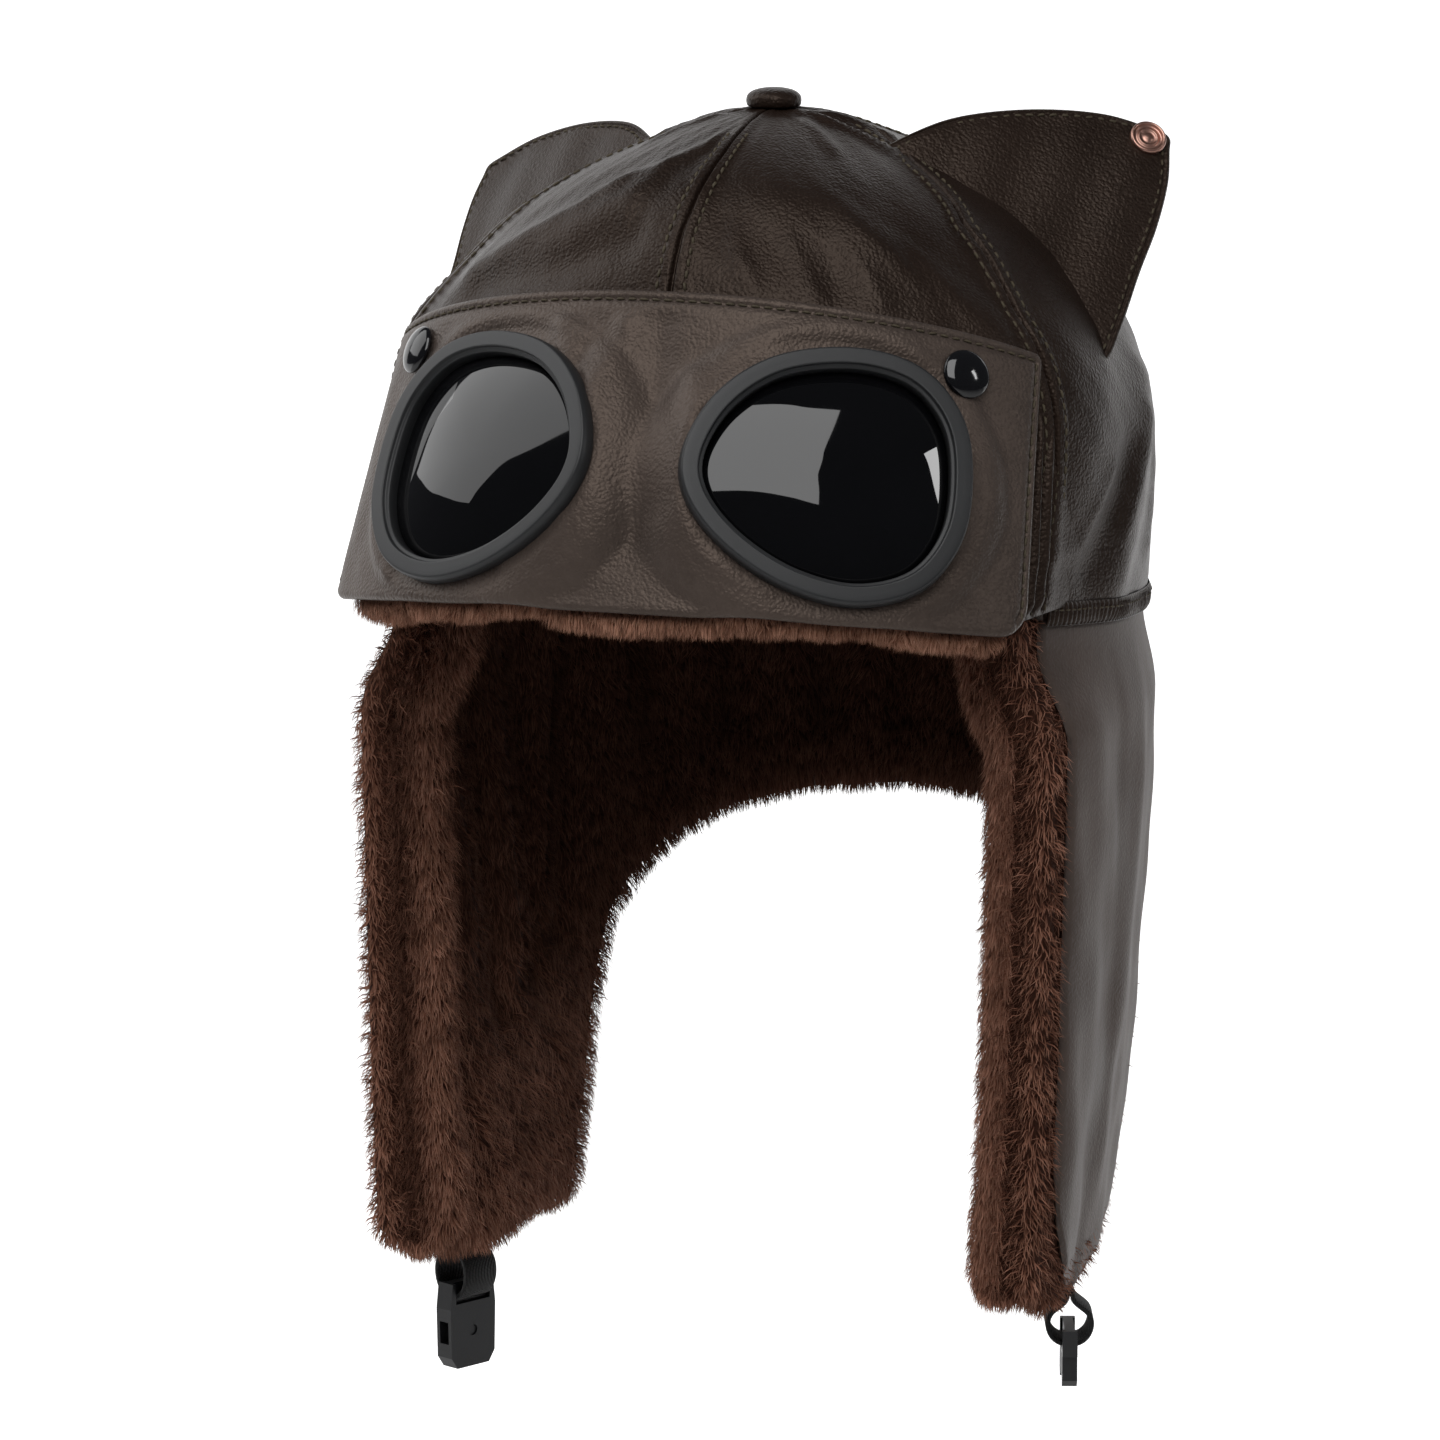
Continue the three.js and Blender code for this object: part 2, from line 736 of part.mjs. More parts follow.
// Goggle panel: across runs from -1 to 1, level from 0 at the bottom to 1 at the top.
function panelForm(across, level) {
  const mix = (bottom, top) => bottom + (top - bottom) * level;
  const turn = across * panelWrapAngle;
  const bow = (Math.cos(turn) - Math.cos(panelWrapAngle)) / (1 - Math.cos(panelWrapAngle));
  const halfWidth = mix(panelBottomHalfWidth, panelTopHalfWidth);
  const sideReach = mix(panelBottomSideReach, panelTopSideReach);
  const frontReach = mix(panelBottomFrontReach, panelTopFrontReach);
  const sideHeight = mix(panelBottomSideHeight, panelTopSideHeight);
  const frontHeight = mix(panelBottomFrontHeight, panelTopFrontHeight);
  const bulge = panelBulge * Math.sin(Math.PI * Math.min(Math.max(level, 0), 1));
  return new THREE.Vector3(
    halfWidth * Math.sin(turn) / Math.sin(panelWrapAngle),
    -(sideReach + (frontReach - sideReach) * bow) - bulge,
    sideHeight + (frontHeight - sideHeight) * bow,
  );
}

// Frame of a goggle: its middle on the panel, with X across, Y up and Z out of the panel.
function goggleFrame(side) {
  const across = side * goggleAcross + goggleShift;
  const middle = panelForm(across, goggleUp);
  const outward = surfaceNormal(panelForm, across, goggleUp, 0.3, 0.25)
    .applyAxisAngle(up, side * goggleTurn);
  const acrossAxis = up.clone().cross(outward).normalize();
  const upAxis = outward.clone().cross(acrossAxis);
  return new THREE.Matrix4().makeBasis(acrossAxis, upAxis, outward).setPosition(middle);
}

for (const side of sides) {
  side.goggleFrame = goggleFrame(side.sign);
  side.goggleInverse = side.goggleFrame.clone().invert();
}

// Outline of a goggle, grown or shrunk by a distance, in its own frame.
function gogglePoints(side, inset, count) {
  const curve = new THREE.CatmullRomCurve3(goggleOutline.map((row) => new THREE.Vector3(
    side * row.across * goggleWidth / 2,
    row.up * goggleHeight / 2,
    0,
  )), true);
  const points = [];
  for (let i = 0; i < count; i += 1) {
    const place = curve.getPoint(i / count);
    const tangent = curve.getTangent(i / count);
    const inward = new THREE.Vector2(-tangent.y, tangent.x).multiplyScalar(side);
    points.push(new THREE.Vector2(place.x, place.y).addScaledVector(inward, inset));
  }
  return points;
}

// The panel lies flat under each goggle's rim and eases into its own curve round it.
function panelFace(across, level) {
  const point = panelForm(across, level);
  for (const side of sides) {
    const local = point.clone().applyMatrix4(side.goggleInverse);
    const reach = Math.hypot(2 * local.x / goggleWidth, 2 * local.y / goggleHeight);
    const flat = 1 - smoothstep((reach - 1) / (flatMargin - 1));
    if (flat > 0) {
      local.z *= 1 - flat;
      point.copy(local.applyMatrix4(side.goggleFrame));
    }
  }
  return point;
}

function panelPoint(across, level, outward) {
  const normal = surfaceNormal(panelFace, across, level, 0.02, 0.03);
  return panelFace(across, level).addScaledVector(normal, outward);
}

const panelColumns = 22;
const panelRows = 6;

function panelShell(outerOffset, innerOffset, endRoom = 0) {
  const acrossAt = (i) => (2 * i / panelColumns - 1) * (1 + endRoom / panelBottomHalfWidth);
  const levelAt = (j) => j / panelRows;
  return wallGeometry(
    panelColumns,
    panelRows,
    (i, j) => panelPoint(acrossAt(i), levelAt(j), outerOffset),
    (i, j) => panelPoint(acrossAt(i), levelAt(j), innerOffset),
  );
}

const goggleSides = 22;

// Ring of a goggle rim: its section runs from the panel round the face to the stepped lip.
function rimGeometry(side) {
  const section = [
    { inset: rimFlange, out: -rimBehind },
    { inset: rimFlange, out: clearance },
    { inset: 0, out: clearance + rimShoulder },
    { inset: rimFlange, out: rimProud },
    { inset: rimFace, out: rimProud - rimSlope },
    { inset: rimFace + rimSlope, out: rimProud - rimStep },
    { inset: rimFace + rimStep, out: rimProud - rimStep - rimSlope },
    { inset: rimFace + rimStep, out: -rimBehind },
  ];
  const count = goggleSides;
  const rings = section.map((row) => gogglePoints(side.sign, row.inset, count));
  const positions = [];
  const indices = [];
  section.forEach((row, j) => {
    for (const point of rings[j]) {
      positions.push(point.x, point.y, row.out);
    }
  });
  for (let j = 0; j < section.length; j += 1) {
    const next = (j + 1) % section.length;
    for (let i = 0; i < count; i += 1) {
      const after = (i + 1) % count;
      indices.push(j * count + i, j * count + after, next * count + after);
      indices.push(j * count + i, next * count + after, next * count + i);
    }
  }
  const geometry = outwardGeometry(positions, indices);
  geometry.applyMatrix4(side.goggleFrame);
  return geometry;
}

// Flat plate of a goggle's outline between two heights in its frame, with a domed front if raised.
function goggleDisc(side, inset, back, front, rise, rings) {
  const count = goggleSides;
  const outline = gogglePoints(side.sign, inset, count);
  const positions = [];
  const indices = [];
  const addDisc = (height, domeRise) => {
    const first = positions.length / 3;
    for (let k = 0; k < rings; k += 1) {
      const share = 1 - k / rings;
      for (const point of outline) {
        positions.push(point.x * share, point.y * share, height + domeRise * (1 - share * share));
      }
    }
    positions.push(0, 0, height + domeRise);
    const centre = positions.length / 3 - 1;
    return { first, centre };
  };
  const addDiscFaces = ({ first, centre }, turned) => {
    const face = (a, b, c) => indices.push(a, turned ? c : b, turned ? b : c);
    for (let i = 0; i < count; i += 1) {
      const after = (i + 1) % count;
      for (let k = 0; k < rings - 1; k += 1) {
        const here = first + k * count;
        face(here + i, here + after, here + count + after);
        face(here + i, here + count + after, here + count + i);
      }
      const lastRing = first + (rings - 1) * count;
      face(lastRing + i, lastRing + after, centre);
    }
  };
  const frontDisc = addDisc(front, rise);
  const backDisc = addDisc(back, rise);
  addDiscFaces(frontDisc, false);
  addDiscFaces(backDisc, true);
  for (let i = 0; i < count; i += 1) {
    const after = (i + 1) % count;
    indices.push(frontDisc.first + i, backDisc.first + i, backDisc.first + after);
    indices.push(frontDisc.first + i, backDisc.first + after, frontDisc.first + after);
  }
  const geometry = outwardGeometry(positions, indices);
  geometry.applyMatrix4(side.goggleFrame);
  return geometry;
}

// The panel with room round its faces, to cut its neighbours back with.
const grownPanel = solidOf(panelShell(1.5 * clearance, -panelWall - 1.5 * clearance, 2 * clearance));

function makeGogglePanel() {
  let panel = solidOf(panelShell(0, -panelWall));
  for (const side of sides) {
    const hole = goggleDisc(side, rimFlange - clearance, -3 * rimBehind, 3 * rimProud, 0, 1);
    panel = panel.subtract(solidOf(hole));
  }
  panel = panel.subtract(grownCrown);
  addPiece('goggle_panel', geometryOf(largestPart(panel)), leatherPanel);
  for (const side of sides) {
    const rim = largestPart(solidOf(rimGeometry(side)).subtract(grownCrown));
    addPiece(`goggle_rim_${side.name}`, geometryOf(rim), blackPlastic);
    const seat = rimProud - rimStep - lensThickness;
    const lensInset = rimFace + rimStep + clearance;
    const lens = goggleDisc(side, lensInset, seat - lensThickness, seat, lensRise, 2);
    addPiece(`goggle_lens_${side.name}`, lens, blackGlass);
    const across = side.sign * panelSnapAcross;
    const outward = surfaceNormal(panelFace, across, panelSnapUp, 0.04, 0.04);
    const snap = turnedDisc(domedSnapProfile, panelSnapRadius, panelSnapHeight);
    snap.applyQuaternion(new THREE.Quaternion().setFromUnitVectors(up, outward));
    const lift = clearance + panelSnapRadius * panelSnapRadius / panelBottomSideReach;
    const place = panelFace(across, panelSnapUp).addScaledVector(outward, lift);
    snap.translate(place.x, place.y, place.z);
    const seated = largestPart(solidOf(snap).subtract(grownPanel));
    addPiece(`panel_snap_${side.name}`, geometryOf(seated), blackLacquer);
  }
}

// Pleated leather between the panel's side edge and the crown.
function gussetShell(side, outerOffset, innerOffset) {
  const columns = 6;
  const rows = 4;
  const point = (i, j, outward) => {
    const share = i / columns;
    const level = gussetFoot + (gussetHead - gussetFoot) * j / rows;
    const front = panelPoint(side.sign * gussetAcross, level, -panelWall - clearance + gussetSeam);
    const angle = side.sign * gussetAngle * degrees;
    const height = Math.max(front.z, hemHeight(angle) + 1);
    const rear = crownPoint(angle, rowAtHeight(height), clearance - gussetSeam);
    const pleat = gussetPleat * Math.sin(share * gussetPleats * 2 * Math.PI)
      * Math.sin(Math.PI * (j + 0.5) / (rows + 1));
    const place = front.clone().lerp(rear, share);
    const along = rear.clone().sub(front).normalize();
    const outer = along.cross(up).multiplyScalar(side.sign).normalize();
    if (outer.x * side.sign < 0) {
      outer.negate();
    }
    return place.addScaledVector(outer, outward + pleat);
  };
  return wallGeometry(
    columns,
    rows,
    (i, j) => point(i, j, outerOffset),
    (i, j) => point(i, j, innerOffset),
  );
}

function makeGussets() {
  for (const side of sides) {
    const gusset = solidOf(gussetShell(side, 0, -leatherWall))
      .subtract(grownCrown)
      .subtract(grownPanel);
    addPiece(`side_gusset_${side.name}`, geometryOf(largestPart(gusset)), leatherCrown);
  }
}

// One tapered lock of fur from its root along a direction, its tip bent down.
function lockSolid(root, direction, acrossAxis, width, thickness, length) {
  const across = acrossAxis.clone().normalize();
  const through = direction.clone().cross(across).normalize();
  const base = root.clone().addScaledVector(direction, -lockRootDepth);
  const corner = (a, b) => base.clone()
    .addScaledVector(across, a * width / 2)
    .addScaledVector(through, b * thickness / 2);
  const tip = root.clone().addScaledVector(direction, length);
  tip.z -= lockDroop * length;
  const points = [corner(-1, -1), corner(1, -1), corner(1, 1), corner(-1, 1), tip];
  const positions = points.flatMap((point) => [point.x, point.y, point.z]);
  const indices = [0, 2, 1, 0, 3, 2, 0, 1, 4, 1, 2, 4, 2, 3, 4, 3, 0, 4];
  return solidOf(outwardGeometry(positions, indices));
}

// Repeating unevenness of the locks, from 0 to 1.
function uneven(number) {
  return 0.5 + 0.5 * Math.sin(number * 2.4) * Math.cos(number * 1.3);
}

const furSkirtSettings = {
  below: furBelowLeather,
  top: furTuck,
  frontAngle: flapFrontAngle - furEdgeAngle,
  columns: 32,
};

function furSkirtShell() {
  const { columns } = furSkirtSettings;
  const wrapsEdge = (i) => i <= 1 || i >= columns - 1;
  const thickness = (i, j) => {
    const ridge = Math.cos(i * 2 * Math.PI / furRidgeColumns) * furRidge;
    return (furPile + ridge) * (j === 0 ? furFootShare : 1);
  };
  return wallGeometry(
    columns,
    skirtRows,
    (i, j) => skirtGridPoint(i, j, wrapsEdge(i) ? furRoll : furBack, furSkirtSettings),
    (i, j) => skirtGridPoint(i, j, furBack - thickness(i, j), furSkirtSettings),
  );
}

// Point in the middle of the fur on its free edge, at a column that may lie between columns.
function furEdgePoint(column) {
  const { frontAngle, columns } = furSkirtSettings;
  const angle = skirtAngle(Math.min(Math.max(column, 0), columns), columns, frontAngle);
  return skirtPoint(angle, -skirtDrop(angle) - furBelowLeather, furMiddle);
}

function lockLengthOf(number, shortest) {
  return lockLength * (shortest + (1 - shortest) * uneven(number));
}

// Locks along the free edge of flaps and curtain, one each time the edge has run a spacing on.
function edgeLocks() {
  const { frontAngle, columns } = furSkirtSettings;
  const locks = [];
  const stepsPerColumn = 12;
  let last = null;
  for (let k = 0; k <= columns * stepsPerColumn; k += 1) {
    const column = k / stepsPerColumn;
    const root = furEdgePoint(column);
    if (last && root.distanceTo(last) < lockSpacing) {
      continue;
    }
    const along = furEdgePoint(column + 0.3).sub(furEdgePoint(column - 0.3)).normalize();
    const angle = skirtAngle(column, columns, frontAngle);
    const normal = surfaceNormal(skirtForm, angle, root.z, 0.02, 1);
    const away = along.clone().cross(normal).normalize();
    if (away.z > 0) {
      away.negate();
    }
    const length = lockLengthOf(locks.length, edgeLockShortest);
    locks.push(lockSolid(root, away, along, lockWidth, furPile, length));
    last = root;
  }
  return locks;
}

// Locks up one flap's front edge.
function frontEdgeLocks(side) {
  const { frontAngle } = furSkirtSettings;
  const angle = side.sign * frontAngle * degrees;
  const foot = -skirtDrop(angle);
  const away = new THREE.Vector3(-side.sign * Math.cos(angle), -Math.abs(Math.sin(angle)), 0);
  const locks = [];
  for (let height = foot + lockSpacing / 2; height < -lockSpacing / 2; height += lockSpacing) {
    const root = skirtPoint(angle, height, furMiddle);
    const length = lockLengthOf(locks.length * 1.7, edgeLockShortest);
    locks.push(lockSolid(root, away, up, lockWidth, furPile, length));
  }
  return locks;
}

// Locks in rows on the inner face of one half of flap and curtain.
function innerLocks(side) {
  const locks = [];
  for (const row of innerLockRows) {
    for (let k = 0; k < row.count; k += 1) {
      const share = (k + 0.5) / row.count;
      const angle = side.sign * (row.fromAngle + (row.toAngle - row.fromAngle) * share) * degrees;
      const height = -row.drop * flapDrop - innerLockStray * uneven(locks.length * 1.9);
      const root = skirtPoint(angle, height, furMiddle - furPile / 2 + clearance);
      const inward = surfaceNormal(skirtForm, angle, height, 0.02, 1).negate();
      inward.z -= innerLockHang;
      const along = new THREE.Vector3(-inward.y, inward.x, 0);
      const length = lockLengthOf(locks.length * 3.1, innerLockShortest);
      locks.push(lockSolid(root, inward.normalize(), along, lockWidth, innerLockThickness, length));
    }
  }
  return locks;
}

const grownSkirt = solidOf(skirtShell(clearance, -leatherWall - clearance, {
  below: clearance,
  top: 0,
  frontAngle: flapFrontAngle - 0.2,
}));

function makeFurLining(straps) {
  const columns = crownColumns / 2;
  const rows = crownRows / 2;
  const ridge = (i, j) => (j < rows && i % 2 === 0 ? furRidge : 0);
  const dome = solidOf(wallGeometry(
    columns,
    rows,
    (i, j) => crownGridPoint(2 * i, 2 * j, furBack),
    (i, j) => crownGridPoint(2 * i, 2 * j, furBack - furPile - ridge(i, j)),
    { around: true, apex: true },
  ));
  let fur = dome.add(solidOf(furSkirtShell()));
  for (const lock of [...edgeLocks(), ...sides.flatMap(frontEdgeLocks), ...sides.flatMap(innerLocks)]) {
    fur = fur.add(lock);
  }
  fur = fur.subtract(grownSkirt).subtract(grownCrown).subtract(solidOf(hemBandShell(2 * clearance)));
  for (const strap of straps) {
    fur = fur.subtract(strap);
  }
  addPiece('fur_lining', geometryOf(largestPart(fur)), brownFur);
}

// The one main body of a cut, without loose crumbs.
function largestPart(solid) {
  const parts = solid.decompose();
  parts.sort((a, b) => b.volume() - a.volume());
  return parts[0];
}

// Point on a level line from the axis through a place, just outside the crown.
function pushedOntoCrown(place, outward) {
  const row = rowAtHeight(Math.max(place.z, hemHeight(0)));
  const side = crownHalfWidth * columnAtRow(crownSections, 'side', row) + outward;
  const front = crownFrontReach * columnAtRow(crownSections, 'front', row) + outward;
  const scale = 1 / Math.hypot(place.x / side, place.y / front);
  return new THREE.Vector3(place.x * scale, place.y * scale, place.z);
}

// Fur edge turned up between the crown's front and the panel, with locks along its foot.
function makeFrontFur() {
  const columns = 12;
  const pointAt = (across, { level, back }) => {
    const outer = panelPoint(across, level, -panelWall - 2 * clearance);
    return outer.lerp(pushedOntoCrown(outer, 3 * clearance), back);
  };
  const positions = [];
  const indices = [];
  const size = frontFurSection.length;
  for (let i = 0; i <= columns; i += 1) {
    const across = (2 * i / columns - 1) * frontFurAcross;
    for (const row of frontFurSection) {
      const point = pointAt(across, row);
      positions.push(point.x, point.y, point.z);
    }
  }
  for (let i = 0; i < columns; i += 1) {
    for (let j = 0; j < size; j += 1) {
      const next = (j + 1) % size;
      indices.push(i * size + j, i * size + next, (i + 1) * size + next);
      indices.push(i * size + j, (i + 1) * size + next, (i + 1) * size + j);
    }
  }
  for (let j = 1; j < size - 1; j += 1) {
    indices.push(0, j + 1, j);
    indices.push(columns * size, columns * size + j, columns * size + j + 1);
  }
  let fur = solidOf(outwardGeometry(positions, indices));
  const foot = { level: frontFurFoot, back: 0.45 };
  for (let k = 0; k < frontFurLocks; k += 1) {
    const across = (2 * (k + 0.5) / frontFurLocks - 1) * frontFurAcross * 0.97;
    const root = pointAt(across, foot);
    const along = pointAt(across + 0.05, foot).sub(root);
    const sway = frontFurSway * Math.sin(k * 1.9);
    const direction = new THREE.Vector3(sway, -frontFurLean, -1).normalize();
    const length = frontFurDrop * (edgeLockShortest + (1 - edgeLockShortest) * uneven(k * 2.3));
    fur = fur.add(lockSolid(root, direction, along, lockWidth, furPile, length));
  }
  fur = fur.subtract(grownCrown).subtract(grownPanel);
  for (const side of sides) {
    const rim = goggleDisc(side, rimFlange - clearance, -rimBehind - clearance, rimProud, 0, 1);
    fur = fur.subtract(solidOf(rim));
    fur = fur.subtract(solidOf(gussetShell(side, clearance, -leatherWall - clearance)));
  }
  addPiece('front_fur', geometryOf(largestPart(fur)), brownFur);
}

// Frame of a wing: X along its root, Y out from the root, Z through the leather.
function wingFrame(side) {
  const place = wingPlaces[side.name];
  const pointOf = ([across, forward, height]) => new THREE.Vector3(side.sign * across, -forward, height);
  const inner = pointOf(place.inner);
  const along = pointOf(place.outer).sub(inner).normalize();
  const lean = pointOf(place.tip).sub(inner);
  const through = along.clone().cross(lean).normalize();
  const out = through.clone().cross(along);
  return new THREE.Matrix4().makeBasis(along, out, through).setPosition(inner);
}

// How far the wing's face bends out of its plane.
function wingBend(along, out) {
  return wingCurl * (wingCup * Math.sin(Math.PI * along / wingSpan) - (out / wingRise) ** 2);
}

function wingGeometry(side) {
  const { lean, reach } = wingPlaces[side.name];
  const shape = new THREE.Shape(wingOutline.map((row) => new THREE.Vector2(
    row.along * wingSpan + lean * row.out * Math.abs(row.out) * wingRise,
    row.out * reach * wingRise,
  )));
  const flat = new THREE.ExtrudeGeometry(shape, { depth: wingWall, bevelEnabled: false, steps: 1 });
  flat.translate(0, 0, -wingWall / 2);
  let solid = solidOf(flat).refineToLength(wingFacet);
  solid = solid.warp((vertex) => {
    vertex[2] += side.sign * wingBend(vertex[0], vertex[1]);
  });
  return geometryOf(solid);
}

const grownDome = solidOf(wallGeometry(
  crownColumns,
  crownRows,
  (i, j) => crownGridPoint(i, j, clearance),
  (i, j) => crownGridPoint(i, j, -3 * leatherWall),
  { around: true, apex: true },
));

function makeWings() {
  for (const side of sides) {
    const frame = wingFrame(side);
    const wing = solidOf(wingGeometry(side), frame).subtract(grownDome);
    addPiece(`wing_${side.name}`, geometryOf(largestPart(wing)), leatherCrown);
    if (side.name === wingSnapSide) {
      const along = wingSnapAlong * wingSpan;
      const out = wingSnapOut * wingRise;
      const snap = turnedDisc(rimmedSnapProfile, wingSnapRadius, wingSnapHeight);
      if (side.sign < 0) {
        snap.rotateX(Math.PI);
      }
      const lift = wingWall / 2 + clearance + wingSnapRadius * wingSnapRadius * wingCurl / wingRise ** 2;
      snap.translate(along, out, side.sign * (wingBend(along, out) + lift));
      snap.applyMatrix4(frame);
      addPiece('wing_snap', snap, copper);
    }
  }
}

// Webbing loop sewn under a flap and closed round the buckle's bar, in the flap's lowest place.
function strapFrame(side, turn) {
  const angle = side.sign * Math.acos(strapForward / (crownFrontReach * crownSections[0].front));
  const foot = skirtPoint(angle, -skirtDrop(angle), -leatherWall / 2);
  return new THREE.Matrix4().makeTranslation(foot.x, foot.y, foot.z)
    .multiply(new THREE.Matrix4().makeRotationZ(turn));
}

// Half outline mirrored to a closed one, in the plane across the webbing.
function mirroredOutline(halfOutline) {
  const back = halfOutline.slice().reverse().map((point) => new THREE.Vector2(-point.x, point.y));
  return halfOutline.concat(back);
}

// Block of a closed outline across and down, as wide as the webbing or wider.
function loopBlock(outline, width) {
  const shape = new THREE.Shape(outline);
  const geometry = new THREE.ExtrudeGeometry(shape, { depth: width, bevelEnabled: false, steps: 1 });
  geometry.translate(0, 0, -width / 2);
  geometry.rotateX(Math.PI / 2);
  return solidOf(geometry);
}

function strapLoopBlock(drop, grow) {
  const half = strapLoopWidth / 2;
  const outline = loopOutline.map((row) => new THREE.Vector2(
    row.across * half + grow,
    -row.down * drop,
  ));
  return loopBlock(mirroredOutline(outline), strapWidth + 2 * grow);
}

function strapLoopSolid(drop) {
  const half = strapLoopWidth / 2;
  const holeRows = loopOutline.slice(2);
  const top = holeRows[0].down * drop + strapWall;
  const bottom = drop - strapWall;
  const stretch = (bottom - top) / ((1 - holeRows[0].down) * drop);
  const outline = holeRows.map((row) => new THREE.Vector2(
    row.across * (half - strapWall),
    -(top + (row.down - holeRows[0].down) * drop * stretch),
  ));
  return strapLoopBlock(drop, 0).subtract(loopBlock(mirroredOutline(outline), 2 * strapWidth));
}

// Plate of a mirrored outline in the plane of the strap's width and the height.
function buckleGeometry(halfOutline, thickness) {
  const shape = new THREE.Shape(mirroredOutline(halfOutline));
  const geometry = new THREE.ExtrudeGeometry(shape, { depth: thickness, bevelEnabled: false, steps: 1 });
  geometry.translate(0, 0, -thickness / 2);
  geometry.rotateX(Math.PI / 2);
  geometry.rotateZ(Math.PI / 2);
  return geometry;
}

function boxAt(width, depth, height, x, y, z) {
  const box = new THREE.BoxGeometry(width, depth, height);
  box.translate(x, y, z);
  return solidOf(box);
}

// Heights of a buckle half from the inner foot of the loop that its bar hangs in.
const slotHeight = strapWall + 2 * strapSlack;
const buckleTop = strapSlack + buckleBar;
const slotMiddle = buckleTop - buckleBar - slotHeight / 2;

// Cuts a buckle half down to a thin bar above its slot, for the webbing to run round.
function withStrapSlot(plate) {
  const slotWidth = strapWidth + 2 * slotMargin;
  const trimHeight = buckleBar + slotHeight + barNeck;
  const trimTop = buckleTop + slotMargin;
  const trimMiddle = trimTop - trimHeight / 2;
  const trimOut = buckleBarDepth / 2 + buckleThickness / 2;
  return plate
    .subtract(boxAt(2 * buckleThickness, slotWidth, slotHeight, 0, 0, slotMiddle))
    .subtract(boxAt(buckleThickness, slotWidth, trimHeight, trimOut, 0, trimMiddle))
    .subtract(boxAt(buckleThickness, slotWidth, trimHeight, -trimOut, 0, trimMiddle));
}

function socketSolid() {
  const foot = buckleTop - socketLength;
  const plate = solidOf(buckleGeometry(socketOutline.map((row) => new THREE.Vector2(
    row.across * buckleWidth / 2,
    buckleTop - row.down * socketLength,
  )), buckleThickness));
  const hollow = buckleThickness - 2 * socketSkin;
  const windowHeight = socketLength * windowShare;
  const windowMiddle = foot + socketLength * windowPlace;
  const mouth = boxAt(hollow, buckleWidth * mouthShare, 2 * mouthDepth, 0, 0, foot);
  const sideWindow = boxAt(hollow, 2 * buckleWidth, windowHeight, 0, 0, windowMiddle);
  const recess = new THREE.CylinderGeometry(recessRadius, recessRadius, 2 * recessDepth, discSides);
  recess.rotateZ(Math.PI / 2);
  recess.translate(buckleThickness / 2, 0, windowMiddle);
  return withStrapSlot(plate).subtract(mouth).subtract(sideWindow).subtract(solidOf(recess));
}

function prongSolid() {
  const shoulder = slotMiddle - slotHeight / 2 - prongBase;
  const reach = shoulder - (buckleTop - prongLength);
  const outline = prongOutline.map((row) => new THREE.Vector2(
    row.across * buckleWidth / 2,
    shoulder - row.down * reach,
  ));
  outline.unshift(new THREE.Vector2(buckleWidth / 2, buckleTop));
  return withStrapSlot(solidOf(buckleGeometry(outline, buckleThickness * prongShare)));
}

const strapEnds = [
  { side: sides[0], turn: socketTurn, drop: socketLoopDrop, name: 'buckle_socket', makeSolid: socketSolid },
  { side: sides[1], turn: prongTurn, drop: prongLoopDrop, name: 'buckle_prong', makeSolid: prongSolid },
];

function makeStraps() {
  const cutters = [];
  for (const end of strapEnds) {
    const frame = strapFrame(end.side, end.turn);
    const loop = geometryOf(strapLoopSolid(end.drop));
    loop.applyMatrix4(frame);
    loop.translate(0, 0, -clearance);
    addPiece(`strap_loop_${end.side.name}`, loop, blackWebbing);
    const half = geometryOf(end.makeSolid());
    half.translate(0, 0, strapWall - end.drop);
    half.applyMatrix4(frame);
    half.translate(0, 0, -clearance);
    addPiece(end.name, half, blackPlastic);
    const cutter = geometryOf(strapLoopBlock(end.drop, clearance));
    cutter.applyMatrix4(frame);
    cutters.push(solidOf(cutter));
  }
  return cutters;
}

makeCrown();
addPiece('crown_hem', hemBandShell(0), leatherCrown);
makeSkirt();
makeGogglePanel();
makeGussets();
makeFrontFur();
makeWings();
makeFurLining(makeStraps());

const headSeatHeight = crownHeight - leatherWall - clearance - furPile;
helmet.position.z = -headSeatHeight;
const root = new THREE.Group();
root.add(helmet);

export default root;
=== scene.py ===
import math

import bpy
import numpy as np
from mathutils import Matrix, Vector, kdtree


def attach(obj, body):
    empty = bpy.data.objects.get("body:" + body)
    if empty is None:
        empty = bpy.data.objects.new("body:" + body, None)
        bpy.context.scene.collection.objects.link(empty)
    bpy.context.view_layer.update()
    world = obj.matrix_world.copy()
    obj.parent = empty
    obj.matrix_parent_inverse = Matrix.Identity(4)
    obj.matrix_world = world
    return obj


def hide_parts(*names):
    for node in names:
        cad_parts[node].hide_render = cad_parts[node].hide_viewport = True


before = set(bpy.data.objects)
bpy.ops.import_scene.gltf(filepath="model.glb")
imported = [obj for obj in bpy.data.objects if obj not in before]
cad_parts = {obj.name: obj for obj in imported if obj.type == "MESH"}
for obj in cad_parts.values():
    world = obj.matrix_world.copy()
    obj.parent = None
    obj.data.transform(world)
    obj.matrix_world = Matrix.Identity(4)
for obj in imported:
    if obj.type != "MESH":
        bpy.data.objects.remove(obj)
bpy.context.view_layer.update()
rng = np.random.default_rng(7)

